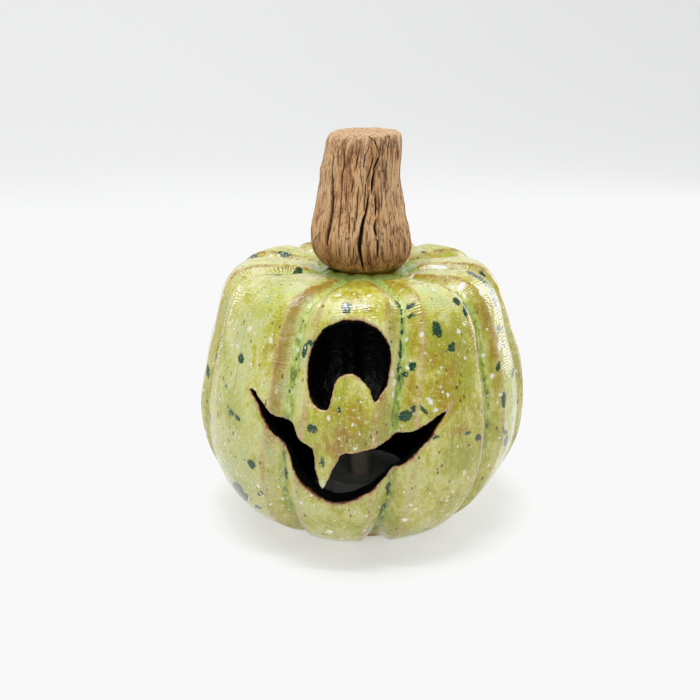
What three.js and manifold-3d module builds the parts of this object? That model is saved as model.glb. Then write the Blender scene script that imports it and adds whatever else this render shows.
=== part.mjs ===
// Hollow stoneware jack-o'-lantern with a bark-textured clay stem, standing over
// a small battery tealight. Units are millimetres, +Z is up, the face looks along -Y.
// The table is z = 0. Pieces are modelled about the tealight's axis, then shifted
// together so that the middle of the footprint is the origin.
// Azimuths are in degrees about +Z: 0 is the face (-Y), positive turns towards +X.
import * as THREE from 'three';
import { mergeVertices } from 'three/addons/utils/BufferGeometryUtils.js';
import Module from 'manifold-3d';

const wasm = await Module();
wasm.setup();

const { clamp, degToRad, lerp, smoothstep } = THREE.MathUtils;

// ---------------------------------------------------------- shared dimensions
const GAP = 0.3; // clearance left between separate pieces
const SEAT_Z = 99.3; // flat on top of the pumpkin, under the stem
const CENTRE_SHIFT = { x: -0.8405, y: 0.308 }; // centres the uneven outline on the origin

const FINISHES = {
  glaze: { color: 0xb9b052, roughness: 0.32 },
  bark: { color: 0xb08a5c, roughness: 0.9 },
  whitePlastic: { color: 0xdcdcd6, roughness: 0.35 },
  basePlastic: { color: 0x1b1b1e, roughness: 0.45 },
  doorPlastic: { color: 0x202024, roughness: 0.5 },
  switchPlastic: { color: 0x3a3a3e, roughness: 0.5 },
  steel: { color: 0xb8babd, roughness: 0.3, metalness: 0.9 },
  brass: { color: 0xc9a94f, roughness: 0.35, metalness: 0.9 },
  leadWire: { color: 0xc6c8cb, roughness: 0.3, metalness: 0.9 },
  lampResin: { color: 0xf3e9cf, roughness: 0.2 },
  flamePlastic: { color: 0xd8cdb0, roughness: 0.3 },
};

// -------------------------------------------------------------------- helpers
const clamp01 = (value) => clamp(value, 0, 1);
const span = (centre, half) => [centre - half, centre + half];

// point at a radius, azimuth and height
const polar = (radius, azimuth, z) => {
  const angle = degToRad(azimuth);
  return [radius * Math.sin(angle), -radius * Math.cos(angle), z];
};

// straight-line interpolation in a table, held constant beyond its ends
function lookUp(stations, values, x) {
  if (x <= stations[0]) return values[0];
  const i = stations.findIndex((station) => x <= station);
  if (i < 0) return values[values.length - 1];
  const share = (x - stations[i - 1]) / (stations[i] - stations[i - 1]);
  return values[i - 1] + (values[i] - values[i - 1]) * share;
}

function indexedGeometry(points, indices) {
  const geometry = new THREE.BufferGeometry();
  geometry.setAttribute('position', new THREE.Float32BufferAttribute(points.flat(), 3));
  geometry.setIndex(indices);
  return geometry;
}

// closed solid geometry from a welded copy of a geometry, wound to face outwards
function solid(geometry) {
  const source = geometry.clone();
  source.deleteAttribute('normal');
  source.deleteAttribute('uv');
  const welded = mergeVertices(source, 1e-4);
  const positions = welded.attributes.position;
  const corner = (i) => new THREE.Vector3().fromBufferAttribute(positions, i);

  const triangles = [];
  let volume = 0;
  for (let i = 0; i < welded.index.count; i += 3) {
    const [a, b, c] = welded.index.array.slice(i, i + 3);
    if (a !== b && b !== c && a !== c) {
      triangles.push([a, b, c]);
      volume += corner(a).dot(corner(b).cross(corner(c)));
    }
  }
  const outward = volume < 0 ? triangles.map(([a, b, c]) => [a, c, b]) : triangles;
  return new wasm.Manifold(new wasm.Mesh({
    numProp: 3,
    vertProperties: new Float32Array(positions.array),
    triVerts: new Uint32Array(outward.flat()),
  }));
}

// one closed surface from a stack of equal rings, starting and ending in a pole
function loft(startPole, rings, endPole) {
  const count = rings[0].length;
  const endIndex = 1 + rings.length * count;
  const at = (ring, j) => 1 + ring * count + (j % count);
  const indices = [];
  for (let j = 0; j < count; j += 1) {
    indices.push(0, at(0, j), at(0, j + 1));
    for (let i = 0; i + 1 < rings.length; i += 1) {
      indices.push(at(i, j), at(i + 1, j), at(i, j + 1));
      indices.push(at(i, j + 1), at(i + 1, j), at(i + 1, j + 1));
    }
    indices.push(endIndex, at(rings.length - 1, j + 1), at(rings.length - 1, j));
  }
  return solid(indexedGeometry([startPole, ...rings.flat(), endPole], indices));
}

// each argument is a [low, high] pair
function box([x0, x1], [y0, y1], [z0, z1]) {
  const geometry = new THREE.BoxGeometry(x1 - x0, y1 - y0, z1 - z0);
  geometry.translate((x0 + x1) / 2, (y0 + y1) / 2, (z0 + z1) / 2);
  return solid(geometry);
}

const TURN_SEGMENTS = 36;
const SMALL_TURN_SEGMENTS = 22;

// solid of revolution about the vertical axis through (x, 0); profile is [radius, z]
function turned(profile, x = 0, segments = TURN_SEGMENTS) {
  const points = profile.map(([radius, z]) => new THREE.Vector2(radius, z));
  const geometry = new THREE.LatheGeometry(points, segments);
  geometry.rotateX(Math.PI / 2);
  geometry.translate(x, 0, 0);
  return solid(geometry);
}

const disc = (radius, z0, z1, x = 0) => (
  turned([[0, z0], [radius, z0], [radius, z1], [0, z1]], x)
);

// -------------------------------------------------------------- pumpkin shell
// Stations run along the crest line: 0 = middle of the top, 1 = foot.
const OUTER_STEPS = 23;
const INNER_STEPS = 12;
const CURVE_SAMPLES = 600;
const WALL_GROOVE_SHARE = 0.35; // how much of a groove shows on the inside wall
const PLAIN_WALL_BELOW = 4; // the inside wall is round below this height
const FOOT_INNER_R = 25.2;
const FOOT_OUTER_R = 28.8;
const CUT_RADII = [38.5, 82]; // the face is cut radially between these radii

// outer crest line, [radius, z], from the stem seat over the shoulder to the foot
const OUTER = [
  [0, SEAT_Z], [8, SEAT_Z], [14, SEAT_Z], [20, 99.7], [27, 101.0], [35, 102.4],
  [42, 102.6], [48.5, 100.4], [53, 95.5], [56, 88.4], [59.3, 77], [62.2, 66.5],
  [63.9, 56], [64.3, 46], [63.2, 35.5], [59.8, 25.5], [54.6, 16.5], [48.2, 9.4],
  [41.5, 4.6], [36, 1.7], [32.5, 0.4], [30.5, 0],
];
// inner wall, [radius, z], from the foot opening up to the middle of the roof
const INNER = [
  [FOOT_INNER_R, 0], [24.6, 0.9], [24.8, 3], [27, 5.3], [31.6, 7.6], [37.4, 10.6],
  [43.4, 15.2], [49.2, 21.8], [54, 29.6], [57.1, 37.5], [58.2, 46], [57.8, 56],
  [56.1, 65.5], [53.2, 75.5], [50, 84.5], [46.8, 90.6], [42.6, 94.8], [37, 96.2],
  [28, 95.2], [18, 93.7], [8, 93.1], [0, 93.0],
];
// grooves between the ten lobes: one row per groove, azimuth at each station
const GROOVE_STATIONS = [0.19, 0.29, 0.39, 0.53, 0.72, 0.87];
const GROOVES = [
  [-70, -75, -72.5, -71.5, -72, -72],
  [-17.5, -22.5, -24.7, -25.4, -28.6, -31.5],
  [15.5, 17.1, 15.5, 10.9, 9.9, 8],
  [48.3, 49.7, 52, 50.1, 49.5, 48],
  [80, 79, 77, 77, 77.5, 77],
  [112, 112.5, 112, 111.5, 111, 111],
  [147, 146, 145.5, 146, 147, 148],
  [181, 183, 184, 184, 183, 182],
  [217, 218, 219, 218, 217, 216],
  [252, 253, 252.5, 252, 253, 254],
];
// groove depth at each station
const DEPTH_STATIONS = [0, 0.09, 0.14, 0.19, 0.29, 0.39, 0.58, 0.73, 0.82, 0.9, 0.955, 1];
const DEPTHS = [0, 0.3, 1.4, 2.4, 3.1, 3.4, 3.7, 4.1, 4.8, 5.4, 5.6, 3.0];
// distance from a groove line to the lobe ridge beside it, at each station
const BEVEL_STATIONS = [0, 0.1, 0.2, 0.3, 0.45, 0.65, 0.85, 1];
const BEVELS = [1.6, 2.4, 4.2, 5.6, 7.0, 7.4, 6.4, 5.0];
const MAX_BEVEL_SHARE = 0.34; // of the lobe's width
// how far each lobe stands out from (+) or falls inside (-) the crest line;
// one row per lobe, starting at the groove of the same row
const LIFT_STATIONS = [0.16, 0.24, 0.32, 0.42, 0.52, 0.62, 0.72, 0.82, 0.92];
const LIFTS = [
  [0.02, -0.26, -0.56, -0.86, -1.11, -1.2, -0.95, -0.06, -0.36],
  [0, 0, 0, 0.02, 0.04, 0.07, 0.11, 0.16, 0.18],
  [0.03, -0.05, -0.13, -0.22, -0.32, -0.4, -0.4, -0.25, 0.21],
  [0.2, 0.13, 0.02, -0.19, -0.58, -1.14, -1.7, -1.83, -0.93],
  [0.87, 0.37, -0.26, -0.16, 1.05, 1.06, 1.01, 0.9, 0.65],
  [1.3, 1.3, 0.7, 0.4, 0.2, 0.1, -0.2, -0.3, 0.0],
  [1.5, 1.4, 0.8, 0.2, -0.3, -0.5, -0.4, -0.2, 0.1],
  [0.7, 0.7, 0.5, 0.5, 0.4, 0.4, 0.2, -0.4, -0.3],
  [1.0, 1.1, 0.8, -0.1, -0.5, -0.7, -0.6, -0.3, -0.2],
  [1.23, 0.48, -0.46, -1.59, -1.57, -0.4, -0.62, -0.86, -1.0],
];
const CROWN = 0.75; // a lobe bulges this much between its two groove lines

// carved openings, [azimuth, z], clockwise as seen from outside
const EYE = [
  [-4, 95], [-0.7, 94.8], [4.5, 93], [7.9, 89.7], [9.8, 85.8], [10.2, 83.6], [9.1, 76.7],
  [7.9, 73], [4, 68.5], [1.9, 73.4], [-1.2, 76.8], [-3.9, 77.7], [-6.3, 77.4],
  [-8.4, 75.7], [-9.5, 73.2], [-10.5, 67.2], [-11.3, 65.4], [-13.5, 65.3], [-14.7, 66],
  [-16.8, 68.5], [-18.1, 71.9], [-19.1, 78.8], [-18.5, 83.6], [-17, 87.7],
  [-14.3, 91.7], [-10.5, 93.9],
];
const MOUTH = [
  [-41.2, 67.4], [-40.4, 68], [-38.6, 67.1], [-29.9, 59.9], [-23.9, 58.7], [-20, 53.5],
  [-15.7, 51.1], [-14.3, 40.9], [-13.7, 38], [-12.6, 35.8], [-6.7, 49.2], [-5.3, 50.1],
  [-0.9, 50.7], [5.9, 52.8], [11.5, 56.1], [16.8, 57.1], [28.1, 62.6], [22.7, 54.6],
  [13.5, 44.4], [1, 33.6], [-4.8, 30.3], [-7.8, 29.6], [-10.2, 29.9], [-12.6, 30.9],
  [-19.3, 36.2], [-22.5, 40.7], [-24.9, 45.7], [-28, 50.3], [-33.5, 57], [-38.1, 64.1],
];

// evenly spaced points on a smooth curve through [radius, z] points, each with its
// normal; side (+1 or -1) picks the normal that leaves the hollow
function resample(points, steps, side) {
  const knots = points.map(([radius, z]) => new THREE.Vector3(radius, z, 0));
  const dense = new THREE.CatmullRomCurve3(knots, false, 'centripetal').getPoints(CURVE_SAMPLES);
  const lengths = [0];
  for (let i = 1; i < dense.length; i += 1) {
    lengths.push(lengths[i - 1] + dense[i].distanceTo(dense[i - 1]));
  }
  return Array.from({ length: steps + 1 }, (_, step) => {
    const station = step / steps;
    const target = station * lengths[lengths.length - 1];
    let i = 1;
    while (i < dense.length - 1 && lengths[i] < target) i += 1;
    const share = clamp01((target - lengths[i - 1]) / (lengths[i] - lengths[i - 1]));
    const point = dense[i - 1].clone().lerp(dense[i], share);
    const along = dense[i].clone().sub(dense[i - 1]).normalize();
    return {
      station,
      radius: Math.max(point.x, 0),
      z: point.y,
      normalR: side * along.y,
      normalZ: -side * along.x,
    };
  });
}

// the seven columns of one lobe at a station: azimuth, and depth below the crest line
function lobeColumns(lobe, station, radius) {
  const next = (lobe + 1) % GROOVES.length;
  const start = lookUp(GROOVE_STATIONS, GROOVES[lobe], station);
  const end = lookUp(GROOVE_STATIONS, GROOVES[next], station) + (next === 0 ? 360 : 0);
  const arc = Math.max(degToRad(end - start) * radius, 1e-3);
  const bevel = Math.min(lookUp(BEVEL_STATIONS, BEVELS, station) / arc, MAX_BEVEL_SHARE);
  const face = 0.5 * (bevel + 0.5) + 0.06; // column between the ridge and the lobe's middle

  const grooveDepth = lookUp(DEPTH_STATIONS, DEPTHS, station);
  // the crown and the lift fade out towards the middle of the top and the foot
  const crown = CROWN * clamp01(Math.min(station / 0.2, (1 - station) / 0.08));
  const lift = lookUp(LIFT_STATIONS, LIFTS[lobe], station)
    * clamp01((1 - station) / 0.05) * clamp01((station - 0.09) / 0.07);

  return [0, bevel / 2, bevel, face, 1 - face, 1 - bevel, 1 - bevel / 2].map((across) => {
    const fromGroove = Math.min(across, 1 - across) / bevel; // 0 = groove, 1 = ridge
    const press = clamp01(1 - fromGroove);
    const grooveShare = 0.74 * press + 0.26 * press ** 2; // slightly curved flank
    const crownShare = (2 * Math.abs(across - 0.5)) ** 2;
    const liftShare = 0.25 + 0.75 * smoothstep(fromGroove, 0, 1.6); // least in the groove
    return {
      azimuth: start + (end - start) * across,
      depth: grooveDepth * grooveShare + crown * crownShare - lift * liftShare,
    };
  });
}

// ring of the shell at a crest-line point, carrying a share of the lobe relief
function shellRing({ station, radius, z, normalR, normalZ }, reliefShare) {
  const ring = [];
  for (let lobe = 0; lobe < GROOVES.length; lobe += 1) {
    lobeColumns(lobe, station, Math.max(radius, 8)).forEach(({ azimuth, depth }) => {
      const inset = depth * reliefShare;
      ring.push(polar(radius - normalR * inset, azimuth, z - normalZ * inset));
    });
  }
  return ring;
}

// radial cutter through the wall with an [azimuth, z] outline that runs clockwise
function knife(outline) {
  const contour = outline.map(([azimuth, z]) => new THREE.Vector2(azimuth, z));
  const points = CUT_RADII.flatMap((radius) => (
    outline.map(([azimuth, z]) => polar(radius, azimuth, z))
  ));
  const count = outline.length;
  const indices = [];
  THREE.ShapeUtils.triangulateShape(contour, []).forEach(([a, b, c]) => {
    indices.push(count + a, count + b, count + c);
    indices.push(a, c, b);
  });
  for (let i = 0; i < count; i += 1) {
    const j = (i + 1) % count;
    indices.push(i, count + j, j);
    indices.push(i, count + i, count + j);
  }
  return solid(indexedGeometry(points, indices));
}

function pumpkinShell() {
  const outerRings = resample(OUTER, OUTER_STEPS, -1).slice(1)
    .map((point) => shellRing(point, 1));
  const footEdge = { station: 1, radius: FOOT_OUTER_R, z: 0, normalR: 0, normalZ: 1 };
  const footRing = shellRing(footEdge, 0);
  // the inner line runs upwards, so its stations are turned round to match the crest line
  const innerRings = resample(INNER, INNER_STEPS, 1).slice(0, -1).map((point) => shellRing(
    { ...point, station: 1 - point.station * 0.97 },
    point.z < PLAIN_WALL_BELOW ? 0 : WALL_GROOVE_SHARE,
  ));
  const roofZ = INNER[INNER.length - 1][1];
  return loft([0, 0, SEAT_Z], [...outerRings, footRing, ...innerRings], [0, 0, roofZ])
    .subtract(knife(EYE))
    .subtract(knife(MOUTH));
}

// ----------------------------------------------------------------------- stem
const STEM_COLUMNS = 34;
const STEM_DISH = 1.1; // the cut top is pressed in this far
// [z, low-X edge, high-X edge]
const STEM = [
  [SEAT_Z + GAP, -9.6, 12.6], [101.2, -11.4, 14.6], [103.6, -15.2, 17.2],
  [107.5, -18.2, 19.1], [111.4, -19.3, 19.4], [116.1, -19.2, 18.6], [120.7, -18.4, 17.2],
  [125.3, -17.3, 16.6], [129.9, -16.6, 15.8], [134.4, -15.8, 15.1], [138.9, -15.4, 15.0],
  [145.0, -13.7, 15.5], [149.3, -12.9, 15.4], [151.8, -11.4, 14.8], [152.8, -9.4, 13.4],
];
// [azimuth, half width in degrees, depth]
const STEM_CRACKS = [
  [-20, 9, 1.5], [8, 7.2, 1.1], [31, 9, 0.9], [-52, 9, 1.0], [62, 10.8, 1.3], [-86, 9, 1.0],
  [95, 10.8, 1.2], [128, 9, 1.3], [160, 10.8, 1.0], [-120, 10.8, 1.4], [-158, 9, 1.1],
];

// depth of the deepest crack at an azimuth; the cracks waver as they climb
function crackDepth(azimuth, z) {
  const depths = STEM_CRACKS.map(([crackAzimuth, halfWidth, depth]) => {
    const waver = 4 * Math.sin(z * 0.09 + crackAzimuth);
    const away = Math.abs(((azimuth - crackAzimuth - waver + 540) % 360) - 180);
    return depth * Math.max(0, 1 - away / halfWidth);
  });
  return Math.max(...depths);
}

function stemRing(z, lowX, highX, scale = 1) {
  const centreX = (lowX + highX) / 2;
  // cracks are shallower near the top and the foot
  const fade = Math.min(1, Math.max(0.25, (153 - z) / 4), Math.max(0.3, (z - 98) / 8));
  return Array.from({ length: STEM_COLUMNS }, (_, j) => {
    const azimuth = (360 / STEM_COLUMNS) * j - 180;
    const radius = ((highX - lowX) / 2 - crackDepth(azimuth, z) * fade) * scale;
    const [x, y] = polar(radius, azimuth, z);
    return [centreX + x, y, z];
  });
}

function stem() {
  const [footZ, footLowX, footHighX] = STEM[0];
  const [topZ, topLowX, topHighX] = STEM[STEM.length - 1];
  const dishZ = topZ - STEM_DISH;
  const rings = [
    ...STEM.map(([z, lowX, highX]) => stemRing(z, lowX, highX)),
    stemRing(topZ - 0.35, topLowX, topHighX, 0.72),
    stemRing(dishZ, topLowX, topHighX, 0.36),
  ];
  const footPole = [(footLowX + footHighX) / 2, 0, footZ];
  return loft(footPole, rings, [(topLowX + topHighX) / 2, 0, dishZ]);
}

// ------------------------------------------------------------------- tealight
const CUP_FOOT_R = 18.0;
const CUP_RIM_R = 18.5;
const CUP_H = 17;
const CUP_WALL = 1.0;
const DECK_TOP = 15;
const DECK_BOTTOM = DECK_TOP - 1.2;
const LENS_NECK_R = 4.8;
const LENS_HOLE_R = LENS_NECK_R + GAP;
const FLAME_TOP = 36.5;

const BASE_R = 16.8;
const BASE_BOTTOM = 0.8;
const BASE_TOP = 3.5;
const BELOW_BASE = BASE_BOTTOM - 1; // where cuts from underneath start
const RING_TOP = 7.0; // top of the ring around the cell

const DOOR_X = -3; // axis of the door, the cell and its ring
const DOOR_R = 11.3;
const DOOR_TOP = 2.5;
const TAB_R = 12.8;
const TAB_BOTTOM = 1.8;
const DOOR_FIT = 0.4; // radial clearance around the door and its tabs

const CELL_R = 10; // 2032-size coin cell
const CELL_BOTTOM = DOOR_TOP + GAP;
const CELL_TOP = CELL_BOTTOM + 3.2;

const SWITCH_X = 12.5; // middle of the switch slot
const SLIDER_Y = -1.1; // where the slider stands in its slot

// two opposite pie-slices of a ring about the door's axis; the angle is from +X
const SECTOR_STEPS = 6;
function doorSectors(innerR, outerR, angle, halfAngle, z0, z1) {
  const arc = (radius, from, to) => Array.from({ length: SECTOR_STEPS + 1 }, (_, i) => {
    const turn = degToRad(lerp(from, to, i / SECTOR_STEPS));
    return new THREE.Vector2(DOOR_X + radius * Math.cos(turn), radius * Math.sin(turn));
  });
  return [angle, angle + 180].map((middle) => {
    const [from, to] = span(middle, halfAngle);
    const shape = new THREE.Shape([...arc(outerR, from, to), ...arc(innerR, to, from)]);
    const options = { depth: z1 - z0, bevelEnabled: false };
    const geometry = new THREE.ExtrudeGeometry(shape, options);
    geometry.translate(0, 0, z0);
    return solid(geometry);
  });
}

// open underneath, with a shallow recess on top and a hole for the flame lens
const tealightCup = () => turned([
  [CUP_FOOT_R, 0], [CUP_FOOT_R + 0.25, CUP_H / 2],
  [CUP_RIM_R, CUP_H - 0.5], [CUP_RIM_R - 0.3, CUP_H],
  [CUP_RIM_R - 0.8, CUP_H], [CUP_RIM_R - 1.1, CUP_H - 0.5],
  [CUP_RIM_R - 1.2, DECK_TOP], [LENS_HOLE_R, DECK_TOP],
  [LENS_HOLE_R, DECK_BOTTOM], [CUP_FOOT_R - CUP_WALL + 0.1, DECK_BOTTOM],
  [CUP_FOOT_R - CUP_WALL, 0], [CUP_FOOT_R, 0],
]);

// plate with the cell ring, the bayonet recess for the door and the switch slot
function tealightBase() {
  const lipTop = TAB_BOTTOM - GAP;
  const notchTop = 2.0;
  const grooveR = TAB_R + DOOR_FIT;
  let base = disc(BASE_R, BASE_BOTTOM, BASE_TOP)
    .add(disc(CELL_R + 1.6, BASE_TOP - 0.5, RING_TOP, DOOR_X))
    .subtract(disc(CELL_R + 0.6, BELOW_BASE, RING_TOP + 1, DOOR_X))
    .subtract(disc(DOOR_R + DOOR_FIT, BELOW_BASE, notchTop, DOOR_X))
    .subtract(disc(grooveR, lipTop, CELL_BOTTOM, DOOR_X));
  doorSectors(DOOR_R - 1, grooveR, 20, 14, BELOW_BASE, notchTop).forEach((notch) => {
    base = base.subtract(notch);
  });
  return base.subtract(box(span(SWITCH_X, 1.4), span(0, 4.2), [BELOW_BASE, BASE_TOP + 1]));
}

// quarter-turn door, drawn locked: its tabs sit above the base lip
function batteryDoor() {
  let door = disc(DOOR_R, BASE_BOTTOM + 0.1, DOOR_TOP, DOOR_X);
  doorSectors(DOOR_R - 2, TAB_R, -10, 10, TAB_BOTTOM, DOOR_TOP).forEach((tab) => {
    door = door.add(tab);
  });
  const coinSlot = box(span(DOOR_X, 7), span(0, 0.8), [BELOW_BASE, 1.5]);
  return door.subtract(coinSlot);
}

const coinCell = () => turned([
  [0, CELL_BOTTOM], [CELL_R - 0.9, CELL_BOTTOM], [CELL_R - 0.8, CELL_BOTTOM + 0.2],
  [CELL_R - 0.25, CELL_BOTTOM + 0.3], [CELL_R, CELL_BOTTOM + 0.6],
  [CELL_R, CELL_TOP - 0.2], [CELL_R - 0.2, CELL_TOP], [0, CELL_TOP],
], DOOR_X);

// leaf bridging the cell ring, with a tongue pressed towards the cell
function contactSpring() {
  const springX = DOOR_X + 1.7;
  const top = RING_TOP + 0.6;
  const leaf = box(span(springX, 1.6), span(0, 11.2), [RING_TOP + GAP, top]);
  const tongue = box(span(springX, 0.8), span(0, 2.4), [CELL_TOP + GAP, top]);
  return leaf.add(tongue);
}

// 5 mm lamp with square leads
const led = () => turned([
  [0, 11], [2.9, 11], [2.9, 12], [2.5, 12], [2.5, 16.5],
  [2.31, 17.45], [1.77, 18.27], [0.96, 18.81], [0, 19],
], 0, SMALL_TURN_SEGMENTS);

const LEAD_HALF = 0.25; // half thickness
const LEAD_X = 2.54 / 2; // half the lead pitch
const LEAD_TOP = 10.7;
const leadY = span(0, LEAD_HALF);

const anodeLead = () => box(span(-LEAD_X, LEAD_HALF), leadY, [7.9, LEAD_TOP]);

// drops from the lamp, runs towards +X, then down to just above the switch
function cathodeLead() {
  const runBottom = 9.0;
  const runTop = runBottom + 2 * LEAD_HALF;
  const drop = box(span(LEAD_X, LEAD_HALF), leadY, [runBottom, LEAD_TOP]);
  const runX = [LEAD_X - LEAD_HALF, SWITCH_X + LEAD_HALF];
  return drop
    .add(box(runX, leadY, [runBottom, runTop]))
    .add(box(span(SWITCH_X, LEAD_HALF), leadY, [4.8, runTop]));
}

// hollow flame pushed up through the deck from below, held by its flange
function flameLens() {
  const flangeBottom = 12.3;
  const flangeTop = DECK_BOTTOM - GAP;
  return turned([
    [3.4, flangeBottom], [6.4, flangeBottom], [6.4, flangeTop], [LENS_NECK_R, flangeTop],
    [4.75, 16], [4.8, 18.5], [4.65, 21.5], [4.2, 25], [3.4, 28.6], [2.35, 32], [1.2, 35],
    [0.5, 36.2], [0, FLAME_TOP],
    [0, FLAME_TOP - 2.2], [0.7, 33], [1.6, 30.5], [2.6, 27.4], [3.3, 24.2], [3.7, 21],
    [3.85, 18.4], [3.8, 15], [3.4, flangeBottom],
  ], 0, SMALL_TURN_SEGMENTS);
}

// the knob hangs through the slot, its head rides on the base plate
function switchSlider() {
  const headBottom = BASE_TOP + GAP;
  const knob = box(span(SWITCH_X, 1.1), span(SLIDER_Y, 2), [GAP, headBottom + 0.2]);
  const headX = [SWITCH_X - 1.8, SWITCH_X + 1.7];
  return knob.add(box(headX, span(SLIDER_Y, 2.5), [headBottom, 4.4]));
}

// ------------------------------------------------------------------- assembly
const group = new THREE.Group();

function addPiece(name, manifold, finish) {
  const { vertProperties, triVerts } = manifold.getMesh();
  const geometry = new THREE.BufferGeometry();
  const positions = new THREE.BufferAttribute(new Float32Array(vertProperties), 3);
  geometry.setAttribute('position', positions);
  geometry.setIndex(new THREE.BufferAttribute(new Uint32Array(triVerts), 1));
  geometry.computeVertexNormals();
  const mesh = new THREE.Mesh(geometry, new THREE.MeshStandardMaterial(finish));
  mesh.name = name;
  mesh.position.set(CENTRE_SHIFT.x, CENTRE_SHIFT.y, 0);
  group.add(mesh);
}

addPiece('pumpkin_shell', pumpkinShell(), FINISHES.glaze);
addPiece('stem', stem(), FINISHES.bark);
addPiece('tealight_cup', tealightCup(), FINISHES.whitePlastic);
addPiece('tealight_base', tealightBase(), FINISHES.basePlastic);
addPiece('battery_door', batteryDoor(), FINISHES.doorPlastic);
addPiece('coin_cell', coinCell(), FINISHES.steel);
addPiece('contact_spring', contactSpring(), FINISHES.brass);
addPiece('led', led(), FINISHES.lampResin);
addPiece('anode_lead', anodeLead(), FINISHES.leadWire);
addPiece('cathode_lead', cathodeLead(), FINISHES.leadWire);
addPiece('flame_lens', flameLens(), FINISHES.flamePlastic);
addPiece('switch_slider', switchSlider(), FINISHES.switchPlastic);

export default group;
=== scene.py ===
"""A hand-made stoneware jack-o'-lantern with a clay stem and a battery tealight inside.

It stands on z = 0 with its carved face toward -Y. Azimuths are in degrees round the
upright axis: 0 is the front (-Y) and 90 is +X. A station is the share, 0 to 1, of the way
along the shell's crest line, from the middle of the top to the foot. Shapes are worked
out in millimetres and written to the meshes in metres.
"""
import math

import bmesh
import bpy
import numpy as np
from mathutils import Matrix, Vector, geometry


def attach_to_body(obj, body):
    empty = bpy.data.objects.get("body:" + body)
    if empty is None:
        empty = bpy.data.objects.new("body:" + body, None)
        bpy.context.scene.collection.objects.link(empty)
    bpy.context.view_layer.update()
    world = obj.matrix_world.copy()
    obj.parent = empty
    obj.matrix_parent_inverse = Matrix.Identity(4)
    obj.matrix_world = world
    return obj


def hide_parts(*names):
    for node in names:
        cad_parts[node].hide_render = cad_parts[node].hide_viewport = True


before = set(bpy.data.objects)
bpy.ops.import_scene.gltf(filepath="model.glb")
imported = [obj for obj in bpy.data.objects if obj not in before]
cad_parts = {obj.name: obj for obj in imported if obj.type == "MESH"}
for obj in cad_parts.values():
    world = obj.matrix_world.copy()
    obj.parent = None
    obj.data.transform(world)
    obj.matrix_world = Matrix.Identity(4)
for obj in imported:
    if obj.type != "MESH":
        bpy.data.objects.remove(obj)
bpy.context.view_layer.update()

MM = 0.001
SHIFT = (-0.8405, 0.308)  # x, y of the pumpkin's axis

# ---------------------------------------------------------------- shell dimensions
# crest line of the shell: (radius, height), middle of the top to the foot
OUTER = [
    (0, 99.3), (8, 99.3), (14, 99.3), (20, 99.7), (27, 101.0), (35, 102.4), (42, 102.6),
    (48.5, 100.4), (53, 95.5), (56, 88.4), (59.3, 77), (62.2, 66.5), (63.9, 56), (64.3, 46),
    (63.2, 35.5), (59.8, 25.5), (54.6, 16.5), (48.2, 9.4), (41.5, 4.6), (36.0, 1.7),
    (32.5, 0.4), (30.5, 0)]
WALL = 6.0
INNER_SHARE = 0.35  # how much of the outer relief the inner face repeats
STEM_X = 1.5  # the stem leans a little to +X

LOBES = 10
GROOVE_S = [0.19, 0.29, 0.39, 0.53, 0.72, 0.87]
GROOVES = [  # azimuth of each groove at the stations GROOVE_S
    (-70, -75, -72.5, -71.5, -72, -72),
    (-17.5, -22.5, -24.7, -25.4, -28.6, -31.5),
    (15.5, 17.1, 15.5, 10.9, 9.9, 8.0),
    (48.3, 49.7, 52, 50.1, 49.5, 48),
    (80, 79, 77, 77, 77.5, 77),
    (112, 112.5, 112, 111.5, 111, 111),
    (147, 146, 145.5, 146, 147, 148),
    (181, 183, 184, 184, 183, 182),
    (217, 218, 219, 218, 217, 216),
    (252, 253, 252.5, 252, 253, 254),
]
# groove depth and bevel width in mm, each over its own stations
DEPTH_S = [0, 0.09, 0.115, 0.14, 0.19, 0.29, 0.39, 0.58, 0.73, 0.82, 0.9, 0.955, 1]
DEPTH = [0, 0.3, 1.0, 1.6, 2.4, 3.1, 3.4, 3.7, 4.1, 4.8, 5.4, 5.6, 3.0]
BEVEL_S = [0, 0.1, 0.2, 0.3, 0.45, 0.65, 0.85, 1]
BEVEL = [1.6, 2.4, 4.2, 5.6, 7.0, 7.4, 6.4, 5.0]
# how far each lobe swells, in mm, at the stations LOBE_S
LOBE_S = [0.16, 0.24, 0.32, 0.42, 0.52, 0.62, 0.72, 0.82, 0.92]
LOBE_LIFT = np.array([
    [0.02, -0.26, -0.56, -0.86, -1.11, -1.2, -0.95, -0.06, -0.36],
    [0, 0, 0, 0.02, 0.04, 0.07, 0.11, 0.16, 0.18],
    [0.03, -0.05, -0.13, -0.22, -0.32, -0.4, -0.4, -0.25, 0.21],
    [0.2, 0.13, 0.02, -0.19, -0.58, -1.14, -1.7, -1.83, -0.93],
    [0.87, 0.37, -0.26, -0.16, 1.05, 1.06, 1.01, 0.9, 0.65],
    [1.3, 1.3, 0.7, 0.4, 0.2, 0.1, -0.2, -0.3, 0.0],
    [1.5, 1.4, 0.8, 0.2, -0.3, -0.5, -0.4, -0.2, 0.1],
    [0.7, 0.7, 0.5, 0.5, 0.4, 0.4, 0.2, -0.4, -0.3],
    [1.0, 1.1, 0.8, -0.1, -0.5, -0.7, -0.6, -0.3, -0.2],
    [1.23, 0.48, -0.46, -1.59, -1.57, -0.4, -0.62, -0.86, -1.0],
])

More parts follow.
